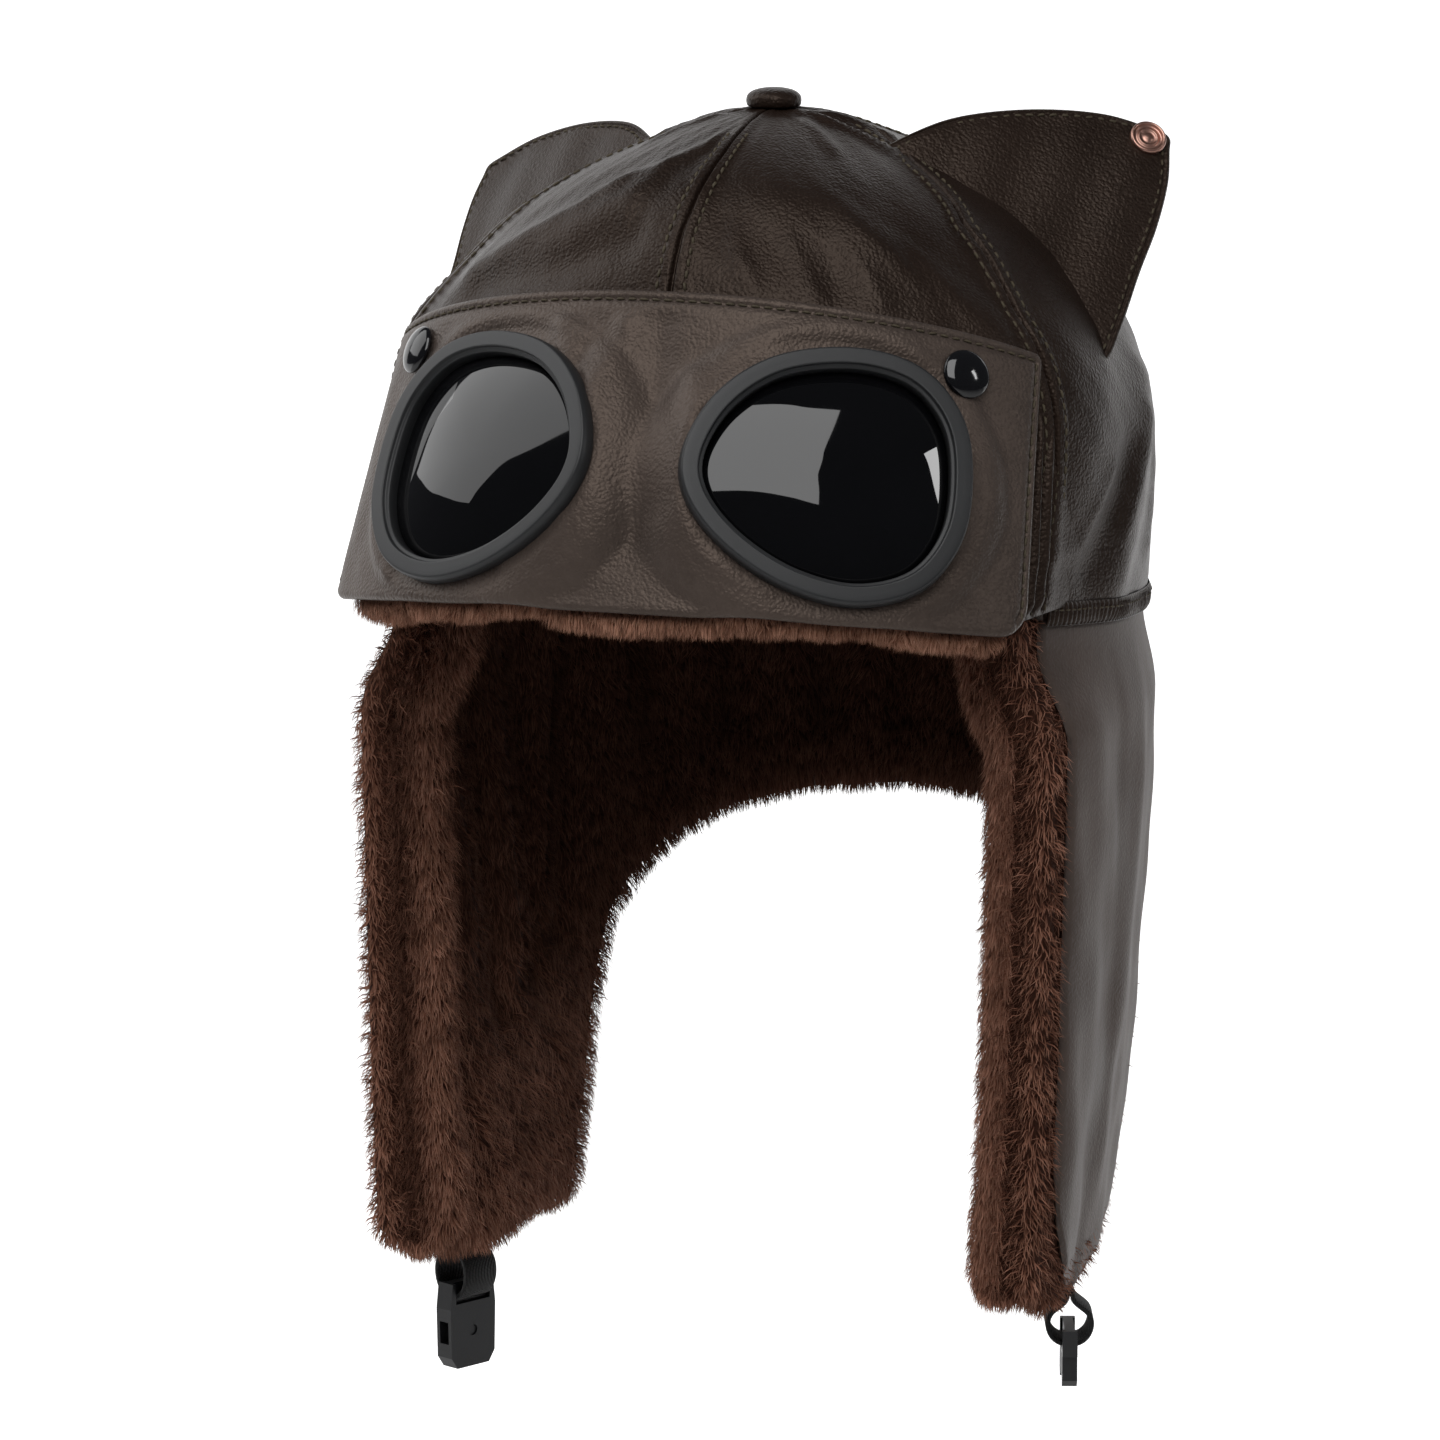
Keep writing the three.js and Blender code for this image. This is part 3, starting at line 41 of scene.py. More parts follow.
# Sizes in millimetres, with heights from the hem, as the solids have them
CROWN_HALF_WIDTH = 95
CROWN_FRONT = 108
CROWN_BACK = 115
CROWN_HEIGHT = 127.5
CROWN_ARC = math.radians(1) * CROWN_HALF_WIDTH
WALL = 2
CLEARANCE = 0.3
FUR_PILE = 10.5
SEAT_HEIGHT = CROWN_HEIGHT - WALL - CLEARANCE - FUR_PILE
FRONT_HEM_RISE = 14
FLAP_FRONT = 66
FLAP_MIDDLE = 86
FLAP_DROP = 170
CURTAIN_DROP = 66
FULLNESS = 5.5
PANEL_WALL = 2.4
PANEL_BOTTOM = {"half": 91, "side": 72, "front": 118, "side_z": 7.5, "front_z": 16}
PANEL_TOP = {"half": 84.5, "side": 40, "front": 80, "side_z": 72.5, "front_z": 89.5}
PANEL_WRAP = math.radians(65)
GOGGLE_WIDTH = 72
GOGGLE_HEIGHT = 65
GOGGLE_ACROSS = 0.405
GOGGLE_SHIFT = 0.03
GOGGLE_UP = 0.45
GOGGLE_TURN = math.radians(5)
WING_WALL = 2.4
WING_SPAN = 78
WING_RISE = 60
PANEL_HALF_RUN = 104
PANEL_RUN_HEIGHT = 78

# Shares of the sizes above: height, side, front and back of the crown's sections
SECTIONS = np.array([
    [0.00, 0.985, 0.965, 0.985], [0.14, 0.995, 0.950, 0.995], [0.28, 1.000, 0.900, 1.000],
    [0.42, 0.985, 0.835, 0.985], [0.55, 0.935, 0.775, 0.940], [0.67, 0.840, 0.710, 0.855],
    [0.78, 0.700, 0.640, 0.730], [0.87, 0.505, 0.540, 0.570], [0.94, 0.295, 0.370, 0.355],
    [0.98, 0.150, 0.200, 0.180], [1.00, 0.000, 0.000, 0.000],
])
LAST_ROW = len(SECTIONS) - 1

# Angle from the front in degrees, and share of the hem's rise or of the flaps' extra length
HEM_RISES = np.array([[0, 1], [50, 0.86], [66, 0.5], [90, 0.22], [115, 0], [180, 0]])
SKIRT_DROPS = np.array([
    [66, 0.62], [67.5, 0.78], [71, 0.9], [78, 0.98], [86, 1], [94, 0.98], [101, 0.965],
    [108, 0.93], [113, 0.87], [117, 0.75], [120.5, 0.52], [124.5, 0.31], [129, 0.23],
    [136, 0.15], [148, 0.07], [163, 0.02], [180, 0],
])

# Outlines in half widths and half heights, or in spans and rises
GOGGLE_OUTLINE = np.array([
    [1.00, 0.10], [0.93, 0.52], [0.68, 0.85], [0.25, 1.00], [-0.28, 0.95], [-0.70, 0.68],
    [-0.96, 0.26], [-0.97, -0.12], [-0.74, -0.52], [-0.34, -0.85], [0.14, -1.00],
    [0.60, -0.88], [0.90, -0.48],
])
WING_OUTLINE = np.array([
    [-0.03, -0.25], [0.00, 0.08], [0.05, 0.32], [0.17, 0.60], [0.32, 0.84], [0.46, 0.97],
    [0.51, 1.00], [0.55, 0.95], [0.64, 0.82], [0.74, 0.62], [0.83, 0.40], [0.94, 0.15],
    [1.00, -0.02], [1.00, -0.25],
])

# Corners of the wings: across, backwards and up in mm
WING_PLACES = {
    1: {"inner": (33, 0, 119), "outer": (91, 8, 68), "tip": (94, -38, 115)},
    -1: {"inner": (34, -2, 117), "outer": (89, 3, 68), "tip": (92, -38, 106)},
}
WING_LEAN = {1: 0, -1: 0.15}
WING_REACH = {1: 1, -1: 0.84}
SIDES = {"right": -1, "left": 1}

# Folds of the crown: from angle and height share to angle and height share, width and depth in mm
CROWN_FOLDS = [
    (-52, 0.70, -18, 0.86, 7.0, 1.8), (-44, 0.66, -12, 0.78, 6.0, -1.6),
    (8, 0.84, 30, 0.74, 9.0, -2.0), (40, 0.80, 56, 0.62, 7.0, 1.6),
    (84, 0.10, 100, 0.46, 8.0, 2.2), (76, 0.14, 88, 0.34, 6.0, -1.6),
    (-84, 0.12, -100, 0.44, 8.0, 2.0), (150, 0.20, 168, 0.50, 10.0, -2.0),
    (-148, 0.24, -170, 0.46, 10.0, 1.8),
    (-8, 0.95, -32, 0.86, 2.2, 0.9), (-26, 0.88, -50, 0.68, 2.6, 0.8),
    (12, 0.80, 15, 0.70, 3.4, 0.9), (24, 0.79, 27, 0.69, 3.0, 0.8), (35, 0.78, 38, 0.68, 3.0, 0.7),
    (47, 0.74, 50, 0.64, 2.8, -0.7), (97, 0.40, 85, 0.20, 2.6, 0.9), (82, 0.33, 72, 0.18, 2.2, 0.7),
    (110, 0.46, 101, 0.14, 3.2, 0.8), (122, 0.36, 117, 0.10, 3.0, -0.7),
    (-78, 0.36, -72, 0.18, 2.4, 0.7), (-110, 0.46, -102, 0.14, 3.2, 0.8),
    (140, 0.62, 132, 0.30, 4.0, 0.9), (-140, 0.60, -131, 0.28, 4.0, -0.8),
]

# Seams of the crown: angle at a few height shares, and how far their topstitching runs beside them
SEAM_HEIGHTS = np.array([0.0, 0.45, 0.64, 0.80, 0.90, 0.96, 1.0])
SEAMS = np.array([
    [-180, -180, -180, -180, -180, -180, -180],
    [-128, -126, -126, -130, -136, -142, -146],
    [-66, -64, -63, -68, -82, -104, -112],
    [0, 0, 0, 0, 1.5, 4, 6],
    [66, 64, 63, 68, 82, 104, 112],
    [128, 126, 126, 130, 136, 142, 146],
    [180, 180, 180, 180, 180, 180, 180],
], float)
SEAM_STITCH = 3.5
SEAM_STITCH_END = 9
SEAM_WIDTH = 0.45
SEAM_GROOVE = 0.9
SEAM_RAISE = 0.55
SEAM_DENT = 0.45

# Creases of the goggle panel: from across and level to across and level, width and depth in mm
PANEL_CREASES = [
    (-0.075, 0.88, -0.095, 0.40, 3.2, 1.1), (-0.150, 0.80, -0.165, 0.45, 2.4, -1.2),
    (0.010, 0.90, 0.050, 0.30, 4.2, -1.0), (0.100, 0.72, 0.130, 0.42, 3.0, 0.9),
    (0.150, 0.55, 0.190, 0.30, 2.0, -0.9), (-0.230, 0.86, -0.160, 0.72, 3.0, 1.0),
    (-0.240, 0.14, -0.110, 0.26, 2.4, 0.7), (-0.660, 0.14, -0.560, 0.05, 2.0, -0.8),
    (-0.700, 0.26, -0.640, 0.08, 1.8, 0.7), (0.720, 0.52, 0.770, 0.30, 2.4, 0.9),
    (0.220, 0.16, 0.330, 0.07, 3.0, 0.6), (0.640, 0.12, 0.740, 0.20, 2.4, -0.6),
    (-0.030, 0.30, -0.060, 0.10, 5.0, 0.8), (0.730, 0.70, 0.780, 0.58, 1.8, -0.7),
]
CREASE_ACROSS = PANEL_BOTTOM["half"] * 1.2
CREASE_UP = 76

# Rolls of the leather round each goggle: distance and width in half sizes, and height in mm
GOGGLE_ROLLS = [(1.07, 0.05, -0.5), (1.20, 0.07, 0.7)]


def smoothstep(value):
    """Soft step from 0 to 1 while the value goes from 0 to 1."""
    t = np.clip(value, 0, 1)
    return t * t * (3 - 2 * t)


def bell(value, middle, width):
    """1 at the middle, falling softly to 0 on both sides."""
    return np.exp(-((value - middle) / width) ** 2)


def rounded(share):
    """Rise of a quarter circle while the share goes from 0 to 1."""
    return np.sqrt(1 - (1 - np.clip(share, 0, 1)) ** 2)


def unit(vectors):
    return vectors / np.maximum(np.linalg.norm(vectors, axis=-1, keepdims=True), 1e-9)


def spline(p0, p1, p2, p3, t):
    """Catmull-Rom curve from the second of four neighbours to the third."""
    return 0.5 * (2 * p1 + (p2 - p0) * t + (2 * p0 - 5 * p1 + 4 * p2 - p3) * t ** 2
                  + (3 * p1 - p0 - 3 * p2 + p3) * t ** 3)


def column_at_row(column, row):
    """Smooth value of a column of the crown's sections at a row number."""
    i = np.minimum(np.floor(row).astype(int), LAST_ROW - 1)
    values = SECTIONS[:, column]
    return spline(*(values[np.clip(i + k, 0, LAST_ROW)] for k in (-1, 0, 1, 2)), row - i)


def hem_height(angle):
    """Height of the hem, which rises towards the front."""
    return FRONT_HEM_RISE * np.interp(np.abs(np.degrees(angle)), HEM_RISES[:, 0], HEM_RISES[:, 1])


def capsule_relief(u, v, folds):
    """Sum of soft ridges along straight lines between two places, in millimetres."""
    relief = np.zeros_like(u)
    for u0, v0, u1, v1, width, depth in folds:
        du = u1 - u0
        dv = v1 - v0
        t = np.clip(((u - u0) * du + (v - v0) * dv) / (du * du + dv * dv), 0, 1)
        off = (u - u0 - t * du) ** 2 + (v - v0 - t * dv) ** 2
        relief += depth * np.exp(-off / width ** 2)
    return relief


def laid_relief(u, v, across, up, folds):
    """Relief of folds whose places are multiples of two lengths, across and up."""
    placed = [(u0 * across, v0 * up, u1 * across, v1 * up, width, depth)
              for u0, v0, u1, v1, width, depth in folds]
    return capsule_relief(u * across, v * up, placed)


def drawn_out(angle, height):
    """How far the crown is drawn out to the sides where the panel's corners hold it."""
    side = np.abs(np.degrees(angle))
    to_corner = smoothstep(side / FLAP_FRONT)
    edge = PANEL_TOP["front_z"] + to_corner * (PANEL_TOP["side_z"] - PANEL_TOP["front_z"])
    away = (height - edge) / CROWN_HEIGHT
    reach = np.where(away > 0, 0.11, 0.28)
    past = bell(np.maximum(side, FLAP_FRONT), FLAP_FRONT, 18)
    return FULLNESS * to_corner * past * bell(away, 0, reach)


def crown_form(angle, row):
    """Crown without folds and seams, by angle from the front and row of its sections."""
    height = CROWN_HEIGHT * column_at_row(0, row)
    side = CROWN_HALF_WIDTH * column_at_row(1, row)
    front = CROWN_FRONT * column_at_row(2, row)
    back = CROWN_BACK * column_at_row(3, row)
    forward = np.where(np.cos(angle) > 0, front, back)
    grow = 1 + drawn_out(angle, height) / CROWN_HALF_WIDTH
    return np.stack([
        side * grow * np.sin(angle), -forward * grow * np.cos(angle), height,
    ], -1)


def normal_of(surface, a, b, step_a, step_b):
    along_a = surface(a + step_a, b) - surface(a - step_a, b)
    along_b = surface(a, b + step_b) - surface(a, b - step_b)
    return unit(np.cross(along_a, along_b))


ROW_SAMPLES = np.linspace(0, LAST_ROW, 400)
HEIGHT_SAMPLES = column_at_row(0, ROW_SAMPLES) * CROWN_HEIGHT


def row_at(height):
    """Row of the crown's sections at a height."""
    return np.interp(height, HEIGHT_SAMPLES, ROW_SAMPLES)


def crown_folds(angle, share):
    """Relief of the crown's folds, which are laid out by angle and height share."""
    return laid_relief(np.degrees(angle), share, CROWN_ARC, CROWN_HEIGHT, CROWN_FOLDS)


def crown_normal(angle, row):
    return normal_of(crown_form, angle, np.clip(row, 0.05, LAST_ROW - 0.06), 0.02, 0.05)


def crown_point(angle, row, outward):
    """Point of the folded crown, moved outwards; near the top that turns into upwards."""
    normal = crown_normal(angle, row)
    share = column_at_row(0, row)
    near_top = np.clip((LAST_ROW - row) / 0.5, 0, 1)[..., None]
    normal = unit(normal * near_top + np.array([0, 0, 1.0]) * (1 - near_top))
    lift = (outward + crown_folds(angle, share))[..., None]
    return crown_form(angle, row) + normal * lift


def skirt_drop(angle):
    """Length of the flaps and the curtain below the hem."""
    share = np.interp(np.abs(np.degrees(angle)), SKIRT_DROPS[:, 0], SKIRT_DROPS[:, 1])
    return CURTAIN_DROP + share * (FLAP_DROP - CURTAIN_DROP)


def skirt_form(angle, height):
    """Flaps and curtain without wrinkles: flared under the hem, leaning in further down."""
    side = np.abs(np.degrees(angle))
    below = np.maximum(-height, 0) / FLAP_DROP
    to_middle = smoothstep((side - FLAP_FRONT) / (FLAP_MIDDLE - FLAP_FRONT))
    lean = below ** 2 * (4 + to_middle * 9)
    near_hem = smoothstep(below * FLAP_DROP / 24)
    front_flare = 6 * near_hem * (1 - to_middle)
    flare = 4 * near_hem
    hem_side = CROWN_HALF_WIDTH * SECTIONS[0, 1] - 1
    hem_front = CROWN_FRONT * SECTIONS[0, 2] - 1
    hem_back = CROWN_BACK * SECTIONS[0, 3] - 1
    forward = np.where(np.cos(angle) > 0, hem_front, hem_back)
    return np.stack([
        np.sin(angle) * (hem_side + flare + front_flare - lean),
        -np.cos(angle) * (forward + flare), height + 0 * angle,
    ], -1)


def skirt_relief(angle, height):
    below = np.clip(-height / CURTAIN_DROP, 0, 1)
    return WALL * below * 0.55 * np.sin(angle * 9 + 0.6)


def skirt_point(angle, height, outward):
    """Point of the flaps and the curtain, moved outwards."""
    normal = normal_of(skirt_form, angle, height, 0.02, 1)
    lift = (outward + skirt_relief(angle, height))[..., None]
    return skirt_form(angle, height) + normal * lift


def panel_form(across, level):
    """Bowed panel, by place across from -1 to 1 and level from 0 to 1."""
    def mix(key):
        return PANEL_BOTTOM[key] + (PANEL_TOP[key] - PANEL_BOTTOM[key]) * level

    turn = across * PANEL_WRAP
    bow = (np.cos(turn) - math.cos(PANEL_WRAP)) / (1 - math.cos(PANEL_WRAP))
    bulge = 0.5 * np.sin(math.pi * np.clip(level, 0, 1))
    return np.stack([
        mix("half") * np.sin(turn) / math.sin(PANEL_WRAP),
        -(mix("side") + (mix("front") - mix("side")) * bow) - bulge,
        mix("side_z") + (mix("front_z") - mix("side_z")) * bow,
    ], -1)


def goggle_frame(sign):
    """Middle of a goggle, and its axes sideways, upwards and outwards."""
    across = np.array(sign * GOGGLE_ACROSS + GOGGLE_SHIFT)
    level = np.array(GOGGLE_UP)
    middle = panel_form(across, level)
    outward = Vector(normal_of(panel_form, across, level, 0.3, 0.25))
    outward.rotate(Matrix.Rotation(sign * GOGGLE_TURN, 3, "Z"))
    side = Vector((0, 0, 1)).cross(outward).normalized()
    rise = outward.cross(side)
    return np.array(middle), np.array([side, rise, outward])


GOGGLES = {sign: goggle_frame(sign) for sign in (-1, 1)}


def to_goggle(point, sign):
    middle, axes = GOGGLES[sign]
    return (point - middle) @ axes.T


def from_goggle(local, sign):
    middle, axes = GOGGLES[sign]
    return local @ axes + middle


def goggle_reach(point, sign):
    """Place from a goggle's middle, and its distance in half sizes of the goggle."""
    local = to_goggle(point, sign)
    return local, np.hypot(2 * local[..., 0] / GOGGLE_WIDTH, 2 * local[..., 1] / GOGGLE_HEIGHT)


def panel_face(across, level):
    """Face of the goggle panel: bowed, but flat where the goggles sit."""
    point = panel_form(across, level)
    for sign in (-1, 1):
        local, reach = goggle_reach(point, sign)
        flat = 1 - smoothstep((reach - 1) / 0.3)
        local[..., 2] *= 1 - flat
        point = np.where((flat > 0)[..., None], from_goggle(local, sign), point)
    return point


def closed_spline(points, count):
    """Smooth curve through a closed ring of points."""
    size = len(points)
    place = np.linspace(0, size, count, endpoint=False)
    i = np.floor(place).astype(int)
    t = (place - i)[:, None]
    return spline(*(points[(i + k) % size] for k in (-1, 0, 1, 2)), t)


def offset_ring(ring, inset):
    """Closed 2-D ring moved towards its middle by a distance."""
    along = unit(np.roll(ring, -1, 0) - np.roll(ring, 1, 0))
    normal = np.stack([-along[:, 1], along[:, 0]], -1)
    area = np.sum(ring[:, 0] * np.roll(ring[:, 1], -1) - np.roll(ring[:, 0], -1) * ring[:, 1])
    return ring + normal * inset * np.sign(area)


def goggle_ring(sign, count):
    half = np.array([sign * GOGGLE_WIDTH / 2, GOGGLE_HEIGHT / 2])
    return closed_spline(GOGGLE_OUTLINE * half, count)


def to_metres(points):
    """Points in mm above the hem, as metres above the head seat."""
    moved = np.array(points, float).reshape(-1, 3)
    moved[:, 2] -= SEAT_HEIGHT
    return moved / 1000


def finish_mesh(name, verts, faces, material, slot_name, *replaced):
    """Piece from points in mm that rides on the helmet, in place of the solids named last."""
    mesh = bpy.data.meshes.new(name)
    mesh.from_pydata(to_metres(verts).tolist(), [], faces)
    mesh.validate()
    mesh.polygons.foreach_set("use_smooth", [True] * len(mesh.polygons))
    mesh.materials.append(material)
    mesh.update()
    piece = bpy.data.objects.new(name, mesh)
    bpy.context.scene.collection.objects.link(piece)
    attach(piece, "root")
    if replaced:
        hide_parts(*replaced)
    return piece


def grid_faces(rows, columns, start=0, around=False, flip=False):
    """Quads of a grid stored row by row."""
    last = columns if around else columns - 1
    i, j = np.meshgrid(np.arange(rows - 1), np.arange(last), indexing="ij")
    after = (j + 1) % columns
    quads = np.stack([
        i * columns + j, i * columns + after, (i + 1) * columns + after, (i + 1) * columns + j,
    ], -1).reshape(-1, 4) + start
    return quads[:, ::-1] if flip else quads


def tube_faces(rows, columns, flip=False):
    """Quads of a grid that closes on itself both ways."""
    faces = grid_faces(rows + 1, columns, 0, around=True, flip=flip) % (rows * columns)
    return faces.tolist()


def shell_mesh(outer, inner, around=False, flip=False):
    """Vertices and faces of a wall between two grids of the same shape."""
    rows, columns = outer.shape[:2]
    size = rows * columns
    verts = np.concatenate([outer.reshape(-1, 3), inner.reshape(-1, 3)])
    parts = [
        grid_faces(rows, columns, 0, around, flip),
        grid_faces(rows, columns, size, around, not flip),
    ]

    def band(line, turned):
        line = np.asarray(line)
        a, b = line[:-1], line[1:]
        quads = np.stack([b, a, a + size, b + size], -1)
        parts.append(quads[:, ::-1] if turned else quads)

    low = np.arange(columns)
    if around:
        low = np.append(low, 0)
    band(low, flip)
    band(low + (rows - 1) * columns, not flip)
    if not around:
        band(np.arange(rows) * columns, not flip)
        band(np.arange(rows) * columns + columns - 1, flip)
    return verts, np.concatenate(parts).tolist()


# Materials
def new_material(name, colour, roughness, specular=0.5):
    material = bpy.data.materials.new(name)
    material.use_nodes = True
    shader = material.node_tree.nodes["Principled BSDF"]
    shader.inputs["Base Color"].default_value = (*colour, 1)
    shader.inputs["Roughness"].default_value = roughness
    shader.inputs["Specular IOR Level"].default_value = specular
    return material, material.node_tree, shader


def add_node(tree, kind, **values):
    node = tree.nodes.new(kind)
    for key, value in values.items():
        if key in node.inputs:
            node.inputs[key].default_value = value
        else:
            setattr(node, key, value)
    return node


def object_coordinates(tree):
    return add_node(tree, "ShaderNodeTexCoord").outputs["Object"]


def noise(tree, vector, scale, detail=3):
    node = add_node(tree, "ShaderNodeTexNoise", Scale=scale, Detail=detail, Roughness=0.55)
    tree.links.new(vector, node.inputs["Vector"])
    return node.outputs["Fac"]


def ramp(tree, value, stops):
    node = add_node(tree, "ShaderNodeValToRGB")
    elements = node.color_ramp.elements
    while len(elements) < len(stops):
        elements.new(0.5)
    for element, (place, colour) in zip(elements, stops):
        element.position = place
        element.color = (*colour, 1)
    tree.links.new(value, node.inputs["Fac"])
    return node.outputs["Color"]


def scaled(tree, value, factor, add=0.0):
    node = add_node(tree, "ShaderNodeMath", operation="MULTIPLY_ADD")
    tree.links.new(value, node.inputs[0])
    node.inputs[1].default_value = factor
    node.inputs[2].default_value = add
    return node.outputs[0]


def total(tree, *values):
    result = values[0]
    for value in values[1:]:
        node = add_node(tree, "ShaderNodeMath", operation="ADD")
        tree.links.new(result, node.inputs[0])
        tree.links.new(value, node.inputs[1])
        result = node.outputs[0]
    return result


def bump(tree, shader, height, distance):
    node = add_node(tree, "ShaderNodeBump", Strength=1.0, Distance=distance)
    tree.links.new(height, node.inputs["Height"])
    tree.links.new(node.outputs["Normal"], shader.inputs["Normal"])


def tint(colour, factor):
    return tuple(min(channel * factor, 1) for channel in colour)


LEATHER_GLOSS = (1.0, 0.78, 0.64, 1)


def leather_material(name, colour, roughness, grain, specular):
    """Grained leather: cells about a millimetre across, finer wrinkles and slow colour changes."""
    material, tree, shader = new_material(name, colour, roughness, specular)
    shader.inputs["Specular Tint"].default_value = LEATHER_GLOSS
    place = object_coordinates(tree)
    cells = add_node(tree, "ShaderNodeTexVoronoi", feature="SMOOTH_F1", Scale=1150, Smoothness=0.6)
    warp = add_node(tree, "ShaderNodeVectorMath", operation="ADD")
    soft = add_node(tree, "ShaderNodeTexNoise", Scale=400)
    tree.links.new(place, soft.inputs["Vector"])
    shrink = add_node(tree, "ShaderNodeVectorMath", operation="SCALE", Scale=0.0012)
    tree.links.new(soft.outputs["Color"], shrink.inputs[0])
    tree.links.new(place, warp.inputs[0])
    tree.links.new(shrink.outputs["Vector"], warp.inputs[1])
    tree.links.new(warp.outputs["Vector"], cells.inputs["Vector"])
    fine = noise(tree, place, 1800, 2)
    wrinkle = noise(tree, place, 330, 4)
    slow = noise(tree, place, 26, 3)
    height = total(tree, scaled(tree, cells.outputs["Distance"], -0.9),
                   scaled(tree, fine, 0.45), scaled(tree, wrinkle, 0.4))
    bump(tree, shader, height, 0.00022 * grain)
    mixed = total(tree, scaled(tree, slow, 0.7), scaled(tree, wrinkle, 0.3))
    colours = ramp(tree, mixed, [(0.3, tint(colour, 0.72)), (0.5, colour), (0.72, tint(colour, 1.3))])
    tree.links.new(colours, shader.inputs["Base Color"])
    rough = total(tree, scaled(tree, slow, 0.16, roughness - 0.12), scaled(tree, fine, 0.1))
    tree.links.new(rough, shader.inputs["Roughness"])
    return material


def fur_material(name, root, middle, tip):
    """Plush: each strand darker at its root and a little lighter or redder than its neighbour; on the
    flaps the tone also carries painted shade.
    """
    material, tree, shader = new_material(name, middle, 0.75, 0.04)
    along = add_node(tree, "ShaderNodeAttribute", attribute_name="along")
    tone = add_node(tree, "ShaderNodeAttribute", attribute_name="tone")
    base = ramp(tree, along.outputs["Fac"], [(0.0, root), (0.45, middle), (1.0, tip)])
    shade = ramp(tree, tone.outputs["Fac"], [(0.0, (0.34, 0.32, 0.31)), (0.5, (1.0, 1.0, 1.0)),
                                             (1.0, (1.6, 1.68, 1.75))])
    mix = add_node(tree, "ShaderNodeMix", data_type="RGBA", blend_type="MULTIPLY")
    mix.inputs["Factor"].default_value = 1
    tree.links.new(base, mix.inputs["A"])
    tree.links.new(shade, mix.inputs["B"])
    tree.links.new(mix.outputs["Result"], shader.inputs["Base Color"])
    return material


def plain_material(name, colour, roughness, specular, grain_scale, grain_height, metallic=0.0):
    """Smooth material with a fine grain and slow colour changes."""
    material, tree, shader = new_material(name, colour, roughness, specular)
    shader.inputs["Metallic"].default_value = metallic
    place = object_coordinates(tree)
    grain = noise(tree, place, grain_scale, 3)
    slow = noise(tree, place, 60, 2)
    colours = ramp(tree, slow, [(0.3, tint(colour, 0.88)), (0.7, tint(colour, 1.12))])
    tree.links.new(colours, shader.inputs["Base Color"])
    rough = scaled(tree, grain, 0.12, roughness - 0.06)
    tree.links.new(rough, shader.inputs["Roughness"])
    bump(tree, shader, grain, grain_height)
    return material


# Leathers: colour, roughness, depth of the grain and specular level
crown_leather = leather_material("crown_leather", (0.0135, 0.0080, 0.0058), 0.40, 1.0, 0.27)
panel_leather = leather_material("panel_leather", (0.052, 0.0395, 0.0335), 0.42, 1.0, 0.42)
flap_leather = leather_material("flap_leather", (0.068, 0.0520, 0.0455), 0.52, 0.6, 0.28)

# Furs: colour at the root, in the middle and at the tip
fur = fur_material("fur", (0.080, 0.033, 0.021), (0.185, 0.080, 0.051), (0.340, 0.175, 0.118))
fur_light = fur_material("fur_light", (0.080, 0.032, 0.019), (0.240, 0.110, 0.068), (0.420, 0.225, 0.150))
# Fur of the crown's inside: the same pile darkened, painted shade for the deep inside of the crown
fur_painted_shade = fur_material("fur_painted_shade", (0.009, 0.004, 0.0025), (0.024, 0.011, 0.007), (0.050, 0.024, 0.015))

# The rest: colour, roughness, specular level, scale and height of the grain
fur_base = plain_material("fur_base", (0.045, 0.018, 0.011), 0.95, 0.1, 900, 0.0004)
rim_plastic = plain_material("rim_plastic", (0.013, 0.0135, 0.0145), 0.46, 0.45, 2600, 0.00002)
lens_black = plain_material("lens_black", (0.0015, 0.0015, 0.002), 0.03, 0.5, 30, 0.000003)
snap_black = plain_material("snap_black", (0.004, 0.004, 0.005), 0.09, 0.6, 400, 0.00001)
copper = plain_material("copper", (0.42, 0.24, 0.19), 0.30, 0.5, 1500, 0.00003, metallic=1.0)
thread = plain_material("thread", (0.062, 0.049, 0.030), 0.7, 0.3, 3000, 0.0001)
buckle_plastic = plain_material("buckle_plastic", (0.008, 0.008, 0.009), 0.36, 0.5, 1800, 0.00003)


def webbing_material():
    """Woven tape: fine ribs across and along it."""
    material, tree, shader = new_material("webbing", (0.010, 0.0095, 0.0095), 0.85, 0.25)
    place = object_coordinates(tree)
    waves = []
    for direction, scale in (("Z", 900), ("X", 700)):
        wave = add_node(tree, "ShaderNodeTexWave", wave_type="BANDS", bands_direction=direction,
                        Scale=scale, Distortion=0.6)
        tree.links.new(place, wave.inputs["Vector"])
        waves.append(wave.outputs["Fac"])
    bump(tree, shader, total(tree, *waves), 0.00018)
    shader.inputs["Sheen Weight"].default_value = 0.15
    return material


webbing = webbing_material()


# Stitches: short lozenges of thread laid along a line of points
STITCH_SIDES = 5
STITCH_SINK = 0.1

# Rings of a stitch: place in its lengths, and thickness and lift in its widths
STITCH_RINGS = [(-0.5, 0.25, -0.12), (-0.28, 0.95, 0.3), (0.28, 0.95, 0.3), (0.5, 0.25, -0.12)]

# Distance from stitch to stitch, length and width in mm
CROWN_STITCH = (3.1, 2.3, 0.8)
HEM_STITCH = (2.6, 1.7, 0.5)
PANEL_STITCH = (3.1, 2.3, 0.7)
GUSSET_STITCH = (2.9, 2.0, 0.5)
WING_STITCH = (3.1, 2.2, 0.7)


